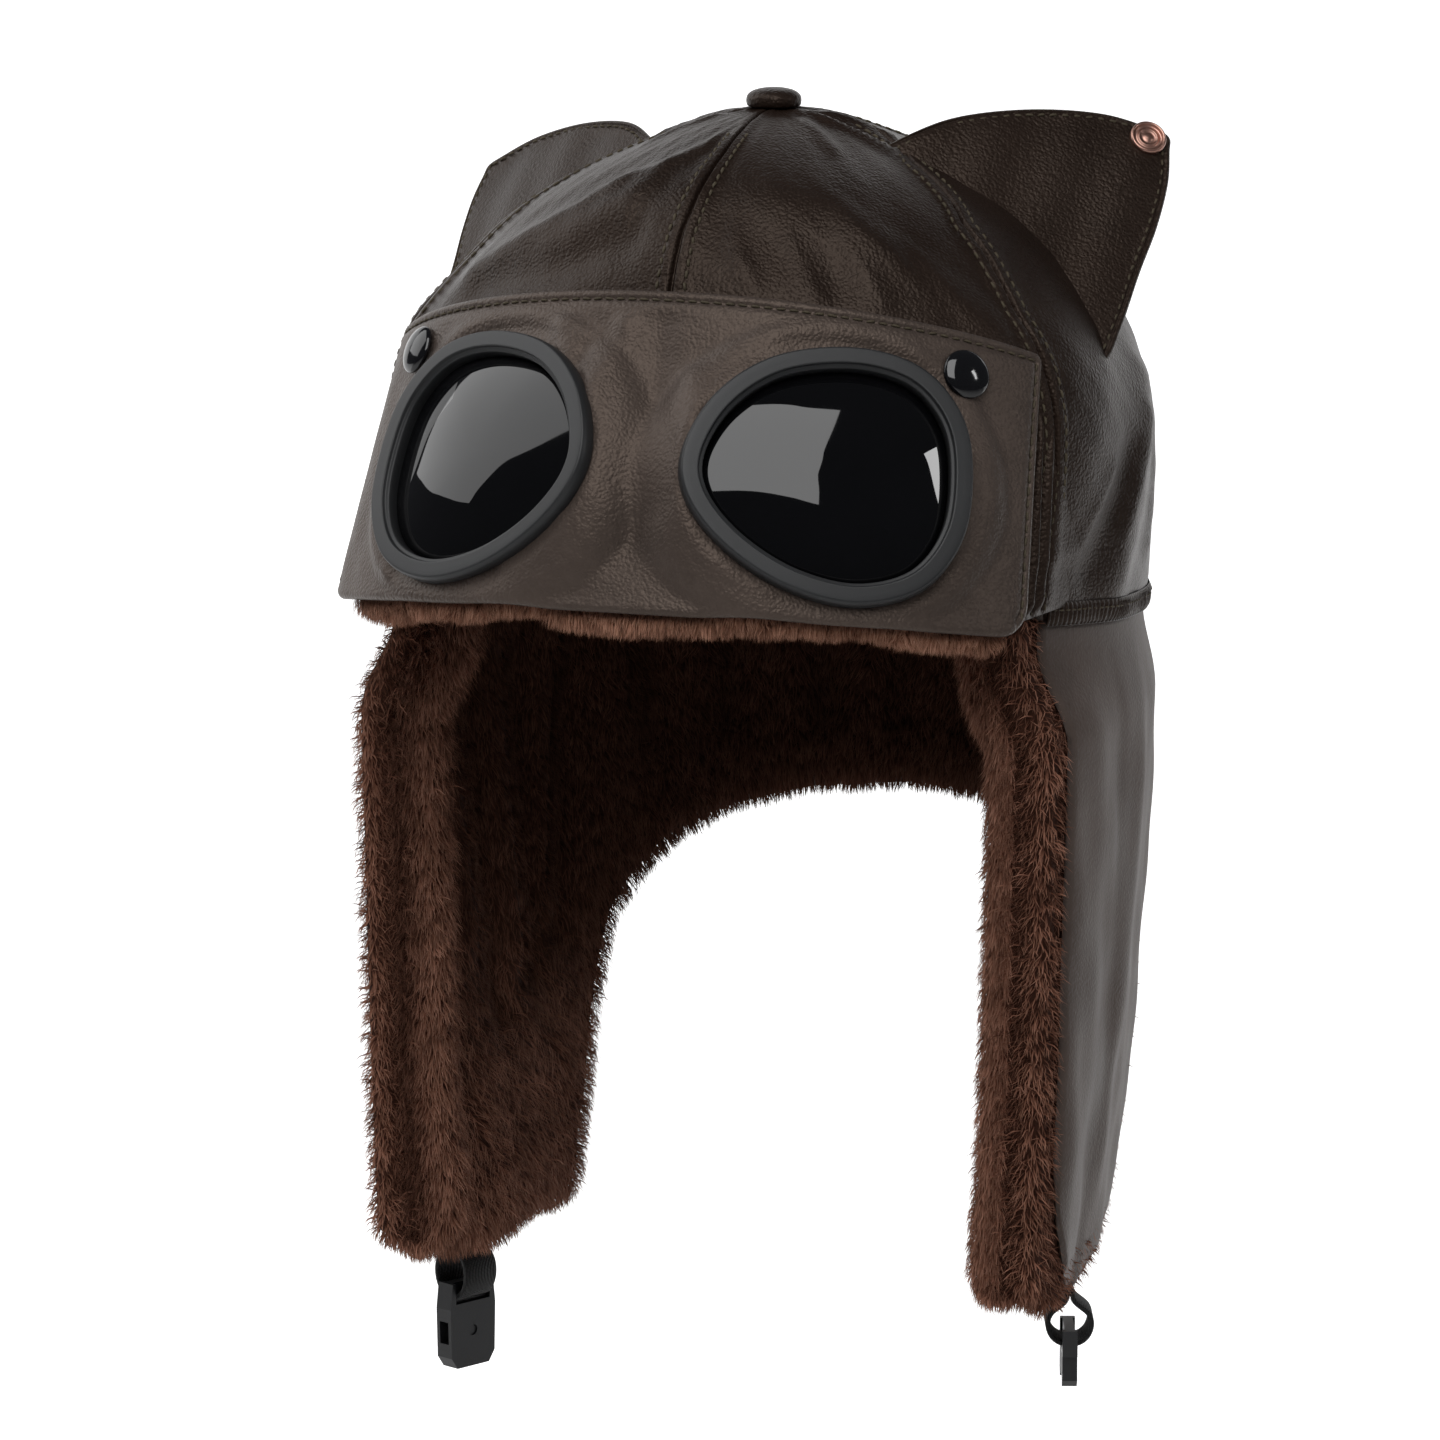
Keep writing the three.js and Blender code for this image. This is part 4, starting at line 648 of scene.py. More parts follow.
def stitch_run(line, normals, pitch, length, width):
    """Places, directions and normals of the stitches along one line, in millimetres."""
    steps = np.linalg.norm(np.diff(line, axis=0), axis=1)
    run = np.concatenate([[0], np.cumsum(steps)])
    count = max(int(run[-1] / pitch), 1)
    at = (np.arange(count) + 0.5) * run[-1] / count

    def values_at(places, values):
        return np.stack([np.interp(places, run, values[:, k]) for k in range(3)], -1)

    up = unit(values_at(at, normals))
    along = unit(values_at(at + 0.4, line) - values_at(at - 0.4, line))
    middle = values_at(at, line) - up * STITCH_SINK
    return middle, along, up, np.full(count, length), np.full(count, width)


def make_stitches(name, runs, slot_name):
    """One mesh of all the stitches along some lines, each turned and sized a little otherwise."""
    middle, along, up, length, width = (np.concatenate(parts) for parts in zip(*runs))
    turn = rng.normal(0, 0.09, len(middle))[:, None]
    side = unit(np.cross(along, up))
    along = unit(along + side * turn)
    side = np.cross(along, up)
    length = length * rng.uniform(0.9, 1.08, len(length))
    verts = []
    for place, thick, lift in STITCH_RINGS:
        for k in range(STITCH_SIDES):
            turn = 2 * math.pi * k / STITCH_SIDES
            verts.append(middle + along * (place * length)[:, None]
                         + side * (math.cos(turn) * thick * width / 2)[:, None]
                         + up * ((math.sin(turn) * thick * 0.5 + lift) * width)[:, None])
    verts = np.stack(verts, 1)
    size = len(STITCH_RINGS) * STITCH_SIDES
    local = grid_faces(len(STITCH_RINGS), STITCH_SIDES, 0, around=True, flip=True)
    starts = (np.arange(len(middle)) * size)[:, None, None]
    faces = (local[None] + starts).reshape(-1, 4).tolist()
    caps = [[s + k for k in range(STITCH_SIDES)] for s in starts.ravel().tolist()]
    ends = [[s + size - 1 - k for k in range(STITCH_SIDES)] for s in starts.ravel().tolist()]
    finish_mesh(name, verts.reshape(-1, 3), faces + caps + ends, thread, slot_name)


# Crown, with distances of its grid columns from the seams in mm
SEAM_NEAR = 5.5
SEAM_SPACING = 2.2


def seam_angles(share):
    """Angle of each seam in degrees at a height share."""
    return np.stack([np.interp(share, SEAM_HEIGHTS, seam) for seam in SEAMS])


def seam_columns():
    """Column places in seam numbers: crowded near the seams, wider apart between them."""
    near = np.concatenate([np.arange(0, 1.5, 0.25), np.arange(1.5, SEAM_NEAR, 0.4)])
    places = []
    for k in range(len(SEAMS) - 1):
        width = (SEAMS[k + 1, 0] - SEAMS[k, 0]) * CROWN_ARC
        count = int((width - 2 * SEAM_NEAR) / SEAM_SPACING)
        middle = np.linspace(SEAM_NEAR, width - SEAM_NEAR, count)
        run = np.concatenate([near, middle, width - near[:0:-1]])
        places.append(k + run / width)
    return np.unique(np.concatenate(places))


def crown_angle(place, share):
    """Angle in radians at a column place and a height share, so that columns follow the seams."""
    seams = seam_angles(share)
    k = np.clip(np.floor(place).astype(int), 0, len(SEAMS) - 2)
    t = place - k
    low = np.take_along_axis(seams, k[None], 0)[0]
    high = np.take_along_axis(seams, k[None] + 1, 0)[0]
    return np.radians(low + (high - low) * t)


def crown_grid(steps, places):
    """Angle and row of each point of the crown's grid."""
    share = np.linspace(0, 1, steps)[:, None] + 0 * places[None]
    place = places[None] + 0 * share
    angle = crown_angle(place, share * 0.98)
    for _ in range(2):
        first = row_at(hem_height(angle))
        row = first + (LAST_ROW - first) * share
        angle = crown_angle(place, column_at_row(0, row))
    return place, angle, row


# Puckers round the top: from x and y to x and y in mm, width and depth in mm
TOP_FOLDS = [
    (8, -5, 33, -6, 2.4, 1.5), (9, -1, 34, -2, 1.5, -1.3), (14, 3, 30, 8, 2.2, 0.9),
    (-8, -3, -31, 2, 2.2, 1.0), (-10, 1, -30, 6, 1.6, -0.9), (-4, 9, -6, 30, 2.2, 0.8),
    (12, -12, 24, -24, 2.4, 0.7), (-12, -10, -26, -20, 2.2, 0.8), (3, 10, 8, 30, 2.0, -0.7),
]


def seam_relief(place, angle, row):
    """Groove on each seam, a raised strip beside it and a dent under each line of stitches."""
    radius = np.hypot(*np.moveaxis(crown_form(angle, row)[..., :2], -1, 0))
    k = np.round(place).astype(int) % (len(SEAMS) - 1)
    share = column_at_row(0, row)
    seam = np.take_along_axis(seam_angles(share), k[None], 0)[0]
    delta = (np.degrees(angle) - seam + 180) % 360 - 180
    away = np.abs(np.radians(delta) * radius)
    fade = smoothstep((LAST_ROW - row) / 0.8)
    relief = -SEAM_GROOVE * bell(away, 0, SEAM_WIDTH)
    relief += SEAM_RAISE * smoothstep((away - 0.3) / 0.8) * (1 - smoothstep((away - SEAM_STITCH) / 1.2))
    relief -= SEAM_DENT * bell(away, SEAM_STITCH, SEAM_WIDTH)
    form = crown_form(angle, row)
    upper = smoothstep((share - 0.84) / 0.08) * fade
    return relief * fade + capsule_relief(form[..., 0], form[..., 1], TOP_FOLDS) * upper


def make_crown():
    place, angle, row = crown_grid(72, seam_columns()[:-1])
    ripple = 0.16 * np.sin(angle * 37 + row * 2.1) * np.sin(row * 5.3 + angle * 11)
    outer = crown_point(angle, row, ripple + seam_relief(place, angle, row))
    inner = crown_point(angle, row, np.full_like(angle, -WALL))
    verts, faces = shell_mesh(outer, inner, around=True)
    finish_mesh("crown_shell", verts, faces, crown_leather, "crown_leather", "crown")


def seam_stitches():
    """Lines of stitches on both sides of each seam, down to the hem and up to the button."""
    runs = []
    for k in range(1, len(SEAMS)):
        share = np.linspace(0.02, 0.965, 120)
        seam = np.radians(seam_angles(share)[k])
        share = np.maximum(share, hem_height(seam) / CROWN_HEIGHT + 0.01)
        row = row_at(share * CROWN_HEIGHT)
        radius = np.hypot(*crown_form(seam, row)[:, :2].T)
        keep = radius > SEAM_STITCH_END
        for side in (-1, 1):
            angle = seam + side * SEAM_STITCH / radius
            line = crown_point(angle, row, np.full_like(angle, 0.2))
            runs.append(stitch_run(line[keep], crown_normal(angle, row)[keep], *CROWN_STITCH))
    return runs


def lathe(profile, count):
    """Grid of a profile of (radius, height) pairs turned round the Z axis."""
    turn = np.linspace(0, 2 * math.pi, count, endpoint=False)
    profile = np.array(profile, float)
    return np.stack([
        profile[:, :1] * np.cos(turn), profile[:, :1] * np.sin(turn),
        profile[:, 1:] + 0 * turn,
    ], -1)


def smooth_profile(points, per_span=6):
    """Smooth open curve through profile points."""
    points = np.array(points, float)
    padded = np.concatenate([points[:1], points, points[-1:]])
    result = []
    for i in range(1, len(padded) - 2):
        for t in np.linspace(0, 1, per_span, endpoint=False):
            result.append(spline(*padded[i - 1:i + 3], t))
    result.append(points[-1])
    return result


def lathe_piece(name, profile, count, place, axes, material, slot_name, *replaced):
    """Turned piece, closed at both ends, standing at a place along the last of its axes."""
    grid = lathe(profile, count)
    rows = len(grid)
    verts = grid.reshape(-1, 3) @ np.array(axes) + np.array(place)
    faces = grid_faces(rows, count, 0, around=True).tolist()
    faces.append(list(range(count))[::-1])
    faces.append([(rows - 1) * count + k for k in range(count)])
    finish_mesh(name, verts, faces, material, slot_name, *replaced)


def axes_along(outward):
    side = unit(np.cross([0, 0, 1], outward))
    return [side, np.cross(outward, side), outward]


# Turned profiles: radius and height in mm
BUTTON_PROFILE = [
    (5.9, -0.5), (6.7, -0.1), (7.0, 1.2), (6.6, 2.6), (5.0, 3.7), (2.4, 4.3), (0.2, 4.4),
]
SNAP_CAP_PROFILE = [
    (5.2, 0.0), (5.9, 0.1), (6.2, 0.6), (6.0, 1.2), (5.3, 1.8), (4.0, 2.4), (2.0, 2.85), (0.15, 3.0),
]
COPPER_PROFILE = [
    (4.0, 0.0), (4.5, 0.1), (4.75, 0.8), (4.6, 1.6), (4.2, 1.95), (3.8, 1.8), (3.6, 1.35),
    (3.3, 1.2), (2.9, 1.25), (2.6, 1.5), (2.2, 1.5), (1.9, 1.25), (1.4, 1.2), (1.0, 1.35),
    (0.15, 1.45),
]


def make_button():
    lathe_piece("crown_button_top", smooth_profile(BUTTON_PROFILE), 48,
                (0, 0, CROWN_HEIGHT + CLEARANCE), np.eye(3), crown_leather, "crown_leather",
                "crown_button")


BAND_HEIGHT = 6
BAND_OVERHANG = 1.5
RIB_PITCH = 1.7


def make_hem_band():
    """Gathered band: fine vertical ribs, deeper in some places than in others."""
    span = 360 - 2 * FLAP_FRONT
    columns = 1200
    degrees = FLAP_FRONT + span * np.arange(columns + 1) / columns
    degrees = np.where(degrees > 180, degrees - 360, degrees)
    level = np.linspace(0, 1, 7)[:, None]
    angle = np.radians(degrees)[None] + 0 * level
    height = hem_height(angle) - BAND_OVERHANG + BAND_HEIGHT * level
    row = row_at(np.maximum(height, 0))
    arc = np.arange(columns + 1)[None] * math.radians(span / columns) * CROWN_HALF_WIDTH
    depth = 0.5 + 0.5 * np.sin(arc * 0.11 + 1.3) ** 2
    rib = 0.36 * depth * np.sin(arc * 2 * math.pi / RIB_PITCH + 0.9 * np.sin(arc * 0.37))
    swell = np.sqrt(np.clip(1 - (2 * level - 1) ** 2, 0, 1))
    outer = crown_point(angle, row, 0.3 + 0.55 * swell + rib * swell)
    inner = crown_point(angle, row, np.full_like(angle, 0.35))
    for face in (outer, inner):
        face[..., 2] = height
    verts, faces = shell_mesh(outer, inner)
    finish_mesh("hem_band", verts, faces, crown_leather, "crown_leather", "crown_hem")
    line = outer[4][4:-4:6]
    return [stitch_run(line, unit(line - inner[4][4:-4:6]), *HEM_STITCH)]


# Flaps and curtain in leather
LEATHER_EDGE = 1.6


def make_skirt():
    columns = 300
    rows = 64
    share = np.linspace(-1, 1, columns + 1)
    side_angle = np.where(share < 0, FLAP_FRONT + (180 - FLAP_FRONT) * (1 + share),
                          180 - (180 - FLAP_FRONT) * share)
    angle = np.radians(np.where(share < 0, -side_angle, side_angle))[::-1][None]
    level = np.linspace(0, 1, rows + 1)[:, None]
    foot = -skirt_drop(angle)
    head = hem_height(angle) - CLEARANCE
    height = foot + (head - foot) * level
    angle = angle + 0 * level
    degrees = np.degrees(np.abs(angle))
    below = np.clip(-height / 40, 0, 1)
    wrinkle = 0.55 * np.sin(angle * 15 + height * 0.055) * np.sin(height * 0.06 + angle * 9)
    wrinkle += 0.28 * np.sin(angle * 27 + 1.1 - height * 0.09) * np.sin(height * 0.11 + angle * 13)
    wrinkle += 0.9 * bell(degrees, 96 + height * 0.05, 3)
    wrinkle -= 0.8 * bell(degrees, 84 - height * 0.03, 2.5)
    side = (degrees - FLAP_FRONT) * CROWN_ARC
    rounding = (WALL / 2) * (1 - rounded(np.minimum(height - foot, side) / LEATHER_EDGE))
    stitch_dent = 0.2 * bell(height - foot, 3, 0.6)
    outer = skirt_point(angle, height, wrinkle * below - rounding - stitch_dent)
    inner = skirt_point(angle, height, -WALL + rounding)
    verts, faces = shell_mesh(outer, inner)
    finish_mesh("flap_leather_wall", verts, faces, flap_leather, "flap_leather", "flap_skirt")


# Goggle panel
def panel_relief(across, level, point):
    """Creases of the leather, and the roll that it makes round each goggle."""
    relief = laid_relief(across, level, CREASE_ACROSS, CREASE_UP, PANEL_CREASES)
    for sign in (-1, 1):
        reach = goggle_reach(point, sign)[1]
        for at, width, height in GOGGLE_ROLLS:
            relief += height * bell(reach, at, width)
    return relief + 0.10 * np.sin(across * 46 + level * 9) * np.sin(level * 21 + across * 8)


def panel_normal(across, level):
    return normal_of(panel_face, across, level, 0.02, 0.03)


# Distances in mm: grid lines near the edges, the sewn line, the edge's rounding and the corners
PANEL_NEAR = np.array([0, 0.25, 0.55, 0.9, 1.3, 1.8, 2.2, 2.6, 3.0, 3.5, 4.2, 5])
PANEL_SEWN = 2.5
PANEL_EDGE = 1.7
BOTTOM_CORNER = 9
TOP_CORNER = 3


def edged_places(length, count):
    """Places from 0 to a length, crowded near both ends."""
    middle = np.linspace(PANEL_NEAR[-1], length - PANEL_NEAR[-1], count)[1:-1]
    return np.concatenate([PANEL_NEAR, middle, length - PANEL_NEAR[::-1]])


def corner_inset(radius, side, end):
    """How far points near a corner move in from the side and from the end to round it."""
    over_side = np.clip(radius - side, 0, radius)
    over_end = np.clip(radius - end, 0, radius)
    reach = np.maximum(np.hypot(over_side, over_end), 1e-6)
    spare = 1 - np.maximum(over_side, over_end) / reach
    inside = (over_side > 0) & (over_end > 0)
    return np.where(inside, over_side * spare, 0), np.where(inside, over_end * spare, 0)


def inside_ring(x, y, ring):
    """Whether points lie in a closed ring."""
    inside = np.zeros(x.shape, bool)
    for a, b in zip(ring, np.roll(ring, -1, 0)):
        if a[1] != b[1]:
            at = (b[0] - a[0]) * (y - a[1]) / (b[1] - a[1]) + a[0]
            inside ^= ((a[1] > y) != (b[1] > y)) & (x < at)
    return inside


def goggle_holes(point):
    """Points of the panel's grid that lie in the goggles' holes."""
    holes = np.zeros(point.shape[:2], bool)
    for sign in (-1, 1):
        local = to_goggle(point, sign)
        ring = offset_ring(goggle_ring(sign, 90), 2.2)
        holes |= inside_ring(local[..., 0], local[..., 1], ring) & (np.abs(local[..., 2]) < 12)
    return holes


def make_panel():
    level = (edged_places(PANEL_RUN_HEIGHT, 60) / PANEL_RUN_HEIGHT)[:, None]
    across = (edged_places(2 * PANEL_HALF_RUN, 160) / PANEL_HALF_RUN - 1)[None] + 0 * level
    level = level + 0 * across
    point = panel_face(across, level)
    normal = panel_normal(across, level)
    side = (1 - np.abs(across)) * PANEL_HALF_RUN
    top = (1 - level) * PANEL_RUN_HEIGHT
    bottom = level * PANEL_RUN_HEIGHT
    edge = np.minimum(np.minimum(side, top), bottom)
    rounding = (PANEL_WALL / 2) * (1 - rounded(edge / PANEL_EDGE))
    sewn = np.minimum(side, top)
    dent = 0.6 * bell(sewn, PANEL_SEWN, 0.5) * smoothstep(bottom / 6)
    puff = 0.5 * smoothstep((sewn - 2.6) / 2.5) - 0.5 * smoothstep((sewn - 8) / 10)
    relief = panel_relief(across, level, point) * smoothstep((edge - PANEL_SEWN) / 6)
    bottom_side, bottom_end = corner_inset(BOTTOM_CORNER, side, bottom)
    top_side, top_end = corner_inset(TOP_CORNER, side, top)
    round_across = across - np.sign(across) * (bottom_side + top_side) / PANEL_HALF_RUN
    round_level = level + (bottom_end - top_end) / PANEL_RUN_HEIGHT
    turned_in = panel_face(round_across, round_level) - point
    outer = point + normal * (relief - dent + puff - rounding)[..., None] + turned_in
    inner = point + normal * (-PANEL_WALL + rounding)[..., None] + turned_in
    verts, faces = shell_mesh(outer, inner)
    faces = np.array(faces)
    hidden = np.tile(goggle_holes(point).ravel(), 2)
    kept = faces[~hidden[faces].all(axis=1)]
    finish_mesh("panel_leather_wall", verts, kept.tolist(), panel_leather, "panel_leather",
                "goggle_panel")

    top_line = 1 - PANEL_SEWN / PANEL_RUN_HEIGHT
    side_line = 1 - PANEL_SEWN / PANEL_HALF_RUN
    place = np.linspace(-side_line, side_line, 260)
    lines = [(place, np.full_like(place, top_line))]
    for sign in (-1, 1):
        level_side = np.linspace(0.05, top_line, 120)
        lines.append((np.full_like(level_side, sign * side_line), level_side))
    runs = []
    for across_line, level_line in lines:
        normal = panel_normal(across_line, level_line)
        line = panel_face(across_line, level_line) - normal * 0.28
        runs.append(stitch_run(line, normal, *PANEL_STITCH))
    return runs


# Section of a goggle's rim: inset from its outline and height over the panel in mm
RIM_SECTION = [
    (2.4, -4.2), (0.9, -4.2), (0.9, 0.3), (0.1, 0.45), (0.0, 0.6), (0.0, 2.9), (0.05, 3.1),
    (0.25, 3.75), (0.35, 3.95), (0.5, 4.1), (0.75, 4.18), (1.0, 4.22), (2.4, 4.32), (3.9, 4.38),
    (4.15, 4.4), (4.3, 4.34), (4.4, 4.2), (4.5, 3.7), (4.6, 3.5), (4.8, 3.4), (5.3, 3.3),
    (5.45, 3.2), (5.55, 2.95), (5.6, 2.5), (5.6, -3.9), (5.2, -4.2),
]
RING_POINTS = 160
LENS_INSET = 5.9
LENS_FOOT = 0.7
LENS_RINGS = 22
LENS_RISE = 6
LENS_WALL = 2


def raised_ring(ring, height):
    return np.concatenate([ring, np.full((len(ring), 1), height)], 1)


def make_rim(name, sign, ring):
    grid = np.array([raised_ring(offset_ring(ring, inset), out) for inset, out in RIM_SECTION])
    finish_mesh(f"rim_{name}", from_goggle(grid.reshape(-1, 3), sign),
                tube_faces(len(grid), len(ring), sign > 0), rim_plastic, "rim_plastic",
                f"goggle_rim_{name}")


def make_lens(name, sign, ring):
    """Domed lens: rings from the middle of its back round the edge to the middle of its front."""
    front = [raised_ring(ring * share, LENS_FOOT + LENS_RISE * (1 - share * share))
             for share in np.linspace(1, 0.06, LENS_RINGS)]
    back = [row - np.array([0, 0, LENS_WALL]) for row in front]
    rings = np.array(back[::-1] + front)
    top = LENS_FOOT + LENS_RISE
    verts = np.concatenate([rings.reshape(-1, 3), [[0, 0, top - LENS_WALL], [0, 0, top]]])
    count = len(ring)
    faces = grid_faces(len(rings), count, 0, around=True, flip=sign > 0).tolist()
    last_ring = (len(rings) - 1) * count
    for k in range(count):
        follows = (k + 1) % count
        front_tip = [last_ring + k, last_ring + follows, len(verts) - 1]
        back_tip = [follows, k, len(verts) - 2]
        faces.append(front_tip[::-1] if sign > 0 else front_tip)
        faces.append(back_tip[::-1] if sign > 0 else back_tip)
    finish_mesh(f"lens_{name}", from_goggle(verts, sign), faces, lens_black, "lens",
                f"goggle_lens_{name}")


def make_goggles():
    for name, sign in SIDES.items():
        ring = goggle_ring(sign, RING_POINTS)
        make_rim(name, sign, ring)
        make_lens(name, sign, offset_ring(ring, LENS_INSET))


PANEL_SNAP_ACROSS = 0.75
PANEL_SNAP_LEVEL = 0.85


def make_snaps():
    for name, sign in SIDES.items():
        across = np.array(sign * PANEL_SNAP_ACROSS)
        level = np.array(PANEL_SNAP_LEVEL)
        outward = normal_of(panel_face, across, level, 0.04, 0.04)
        place = panel_face(across, level) + outward * 0.7
        lathe_piece(f"snap_cap_{name}", smooth_profile(SNAP_CAP_PROFILE), 56, place,
                    axes_along(outward), snap_black, "snap_lacquer", f"panel_snap_{name}")


# Pleats from the panel to the crown: place and width as shares of the way, and height in mm
GUSSET_WELTS = [
    (0.27, 0.035, -2.2), (0.35, 0.042, 1.9), (0.425, 0.022, -1.6), (0.50, 0.042, 1.7),
    (0.575, 0.025, -1.8), (0.68, 0.07, 0.5),
]


GUSSET_ACROSS = 0.93
GUSSET_REAR = math.radians(72)
GUSSET_SEWN = (38, 54)


def make_gussets():
    """Pleated leather from under the panel's sides to the crown."""
    share, level = np.meshgrid(np.linspace(0, 1, 88), np.linspace(0.03, 0.88, 44))
    fade = smoothstep((level - 0.03) / 0.06) * (1 - smoothstep((level - 0.70) / 0.16))
    sway = 0.02 * np.sin(level * 7)
    pleat = np.full_like(share, -0.3)
    for at, wide, high in GUSSET_WELTS:
        pleat += high * fade * bell(share, at + sway, wide)
    runs = []
    for name, sign in SIDES.items():
        across = np.full_like(share, sign * GUSSET_ACROSS)
        front = panel_face(across, level) - panel_normal(across, level) * (PANEL_WALL - 0.1)
        angle = np.full_like(share, sign * GUSSET_REAR)
        height = np.maximum(front[..., 2], hem_height(angle) + 1)
        rear = crown_point(angle, row_at(height), np.full_like(angle, 0.1))
        place = front + (rear - front) * share[..., None]
        outward = unit(np.cross(unit(rear - front), [0, 0, 1.0]) * sign)
        outward = np.where(outward[..., :1] * sign < 0, -outward, outward)
        outer = place + outward * pleat[..., None]
        inner = place + outward * (pleat - WALL)[..., None]
        verts, faces = shell_mesh(outer, inner, flip=sign < 0)
        finish_mesh(f"gusset_{name}", verts, faces, crown_leather, "crown_leather",
                    f"side_gusset_{name}")
        for column in GUSSET_SEWN:
            runs.append(stitch_run(outer[:, column], outward[:, column], *GUSSET_STITCH))
    return runs


# Wings
def wing_frame(sign):
    """Inner corner of a wing, and its axes along the root, upwards and through the wall."""
    place = WING_PLACES[sign]

    def point_of(triple):
        across, forward, height = triple
        return np.array([sign * across, -forward, height], float)

    inner = point_of(place["inner"])
    along = unit(point_of(place["outer"]) - inner)
    through = unit(np.cross(along, point_of(place["tip"]) - inner))
    return inner, np.array([along, np.cross(through, along), through])


def wing_bend(along, out):
    """How far the middle of a wing's wall is bent out of its plane."""
    return 3 * (np.sin(math.pi * along / WING_SPAN) * 0.6 - (out / WING_RISE) ** 2)


def wing_outline(sign):
    shape = WING_OUTLINE * [WING_SPAN, WING_RISE * WING_REACH[sign]]
    up = WING_OUTLINE[:, 1]
    shape[:, 0] += WING_LEAN[sign] * up * np.abs(up) * WING_RISE
    return np.array(smooth_profile(shape, 8))


WING_HALF_WALL = WING_WALL / 2
WING_ROOT = -0.25
WING_SEWN = 2.3
WING_EDGE = 1.5
WING_SNAP = (0.48, 0.89)


def make_wings():
    runs = []
    share = np.concatenate([np.linspace(0, 0.9, 28), np.linspace(0.9, 1, 15)[1:]])
    for name, sign in SIDES.items():
        outline = wing_outline(sign)
        count = len(outline)
        root = np.stack([np.linspace(0, WING_SPAN, count), np.full(count, WING_ROOT * WING_RISE)], -1)
        flat = root[None] + (outline - root)[None] * share[:, None, None]
        away = np.linalg.norm(outline - root, axis=1)[None] * (1 - share)[:, None]
        x, y = flat[..., 0], flat[..., 1]
        soft = 0.7 * np.sin(x * 0.09 + 1) * np.sin(y * 0.11) + 0.25 * np.sin(x * 0.31 + y * 0.17)
        middle = sign * wing_bend(x, y) + soft * smoothstep(away / 8)
        rounding = WING_HALF_WALL * (1 - rounded(away / WING_EDGE))
        half = WING_HALF_WALL - rounding - 0.5 * bell(away, WING_SEWN, 0.5)
        origin, axes = wing_frame(sign)
        outer, inner = (np.stack([x, y, face], -1) @ axes + origin
                        for face in (middle + half, middle - half))
        verts, faces = shell_mesh(outer, inner)
        finish_mesh(f"wing_ply_{name}", verts, faces, crown_leather, "crown_leather",
                    f"wing_{name}")
        along = unit(np.gradient(outline, axis=0))
        sewn = (outline + np.stack([along[:, 1], -along[:, 0]], -1) * WING_SEWN)[4:-5]
        for side in (-1, 1):
            height = sign * wing_bend(*sewn.T) + side * (WING_HALF_WALL - 0.12)
            line = np.concatenate([sewn, height[:, None]], 1) @ axes + origin
            runs.append(stitch_run(line, np.tile(axes[2] * side, (len(line), 1)), *WING_STITCH))
    return runs


def make_wing_snap():
    """Snap near the tip of the wearer's left wing."""
    origin, axes = wing_frame(1)
    across = WING_SNAP[0] * WING_SPAN
    up = WING_SNAP[1] * WING_RISE
    height = wing_bend(across, up) + WING_HALF_WALL + 0.2
    place = np.array([across, up, height]) @ axes + origin
    lathe_piece("copper_snap", smooth_profile(COPPER_PROFILE, 5), 56, place, axes, copper,
                "copper", "wing_snap")


# Fur
def scatter(points, normals, count, weight=None):
    """Random places on a grid of points by area: place and normal of each."""
    a, b, c, d = points[:-1, :-1], points[:-1, 1:], points[1:, 1:], points[1:, :-1]
    area = (np.linalg.norm(np.cross(b - a, d - a), axis=-1)
            + np.linalg.norm(np.cross(b - c, d - c), axis=-1)) / 2
    if weight is not None:
        area = area * weight[:-1, :-1]
    chance = area.ravel() / area.sum()
    cell = rng.choice(len(chance), count, p=chance)
    i, j = np.unravel_index(cell, area.shape)
    u = rng.random(count)[:, None]
    v = rng.random(count)[:, None]

    def blend(grid):
        low = grid[i, j] * (1 - v) + grid[i, j + 1] * v
        high = grid[i + 1, j] * (1 - v) + grid[i + 1, j + 1] * v
        return low * (1 - u) + high * u

    return blend(points), unit(blend(normals))


TUFT_STRANDS = 34


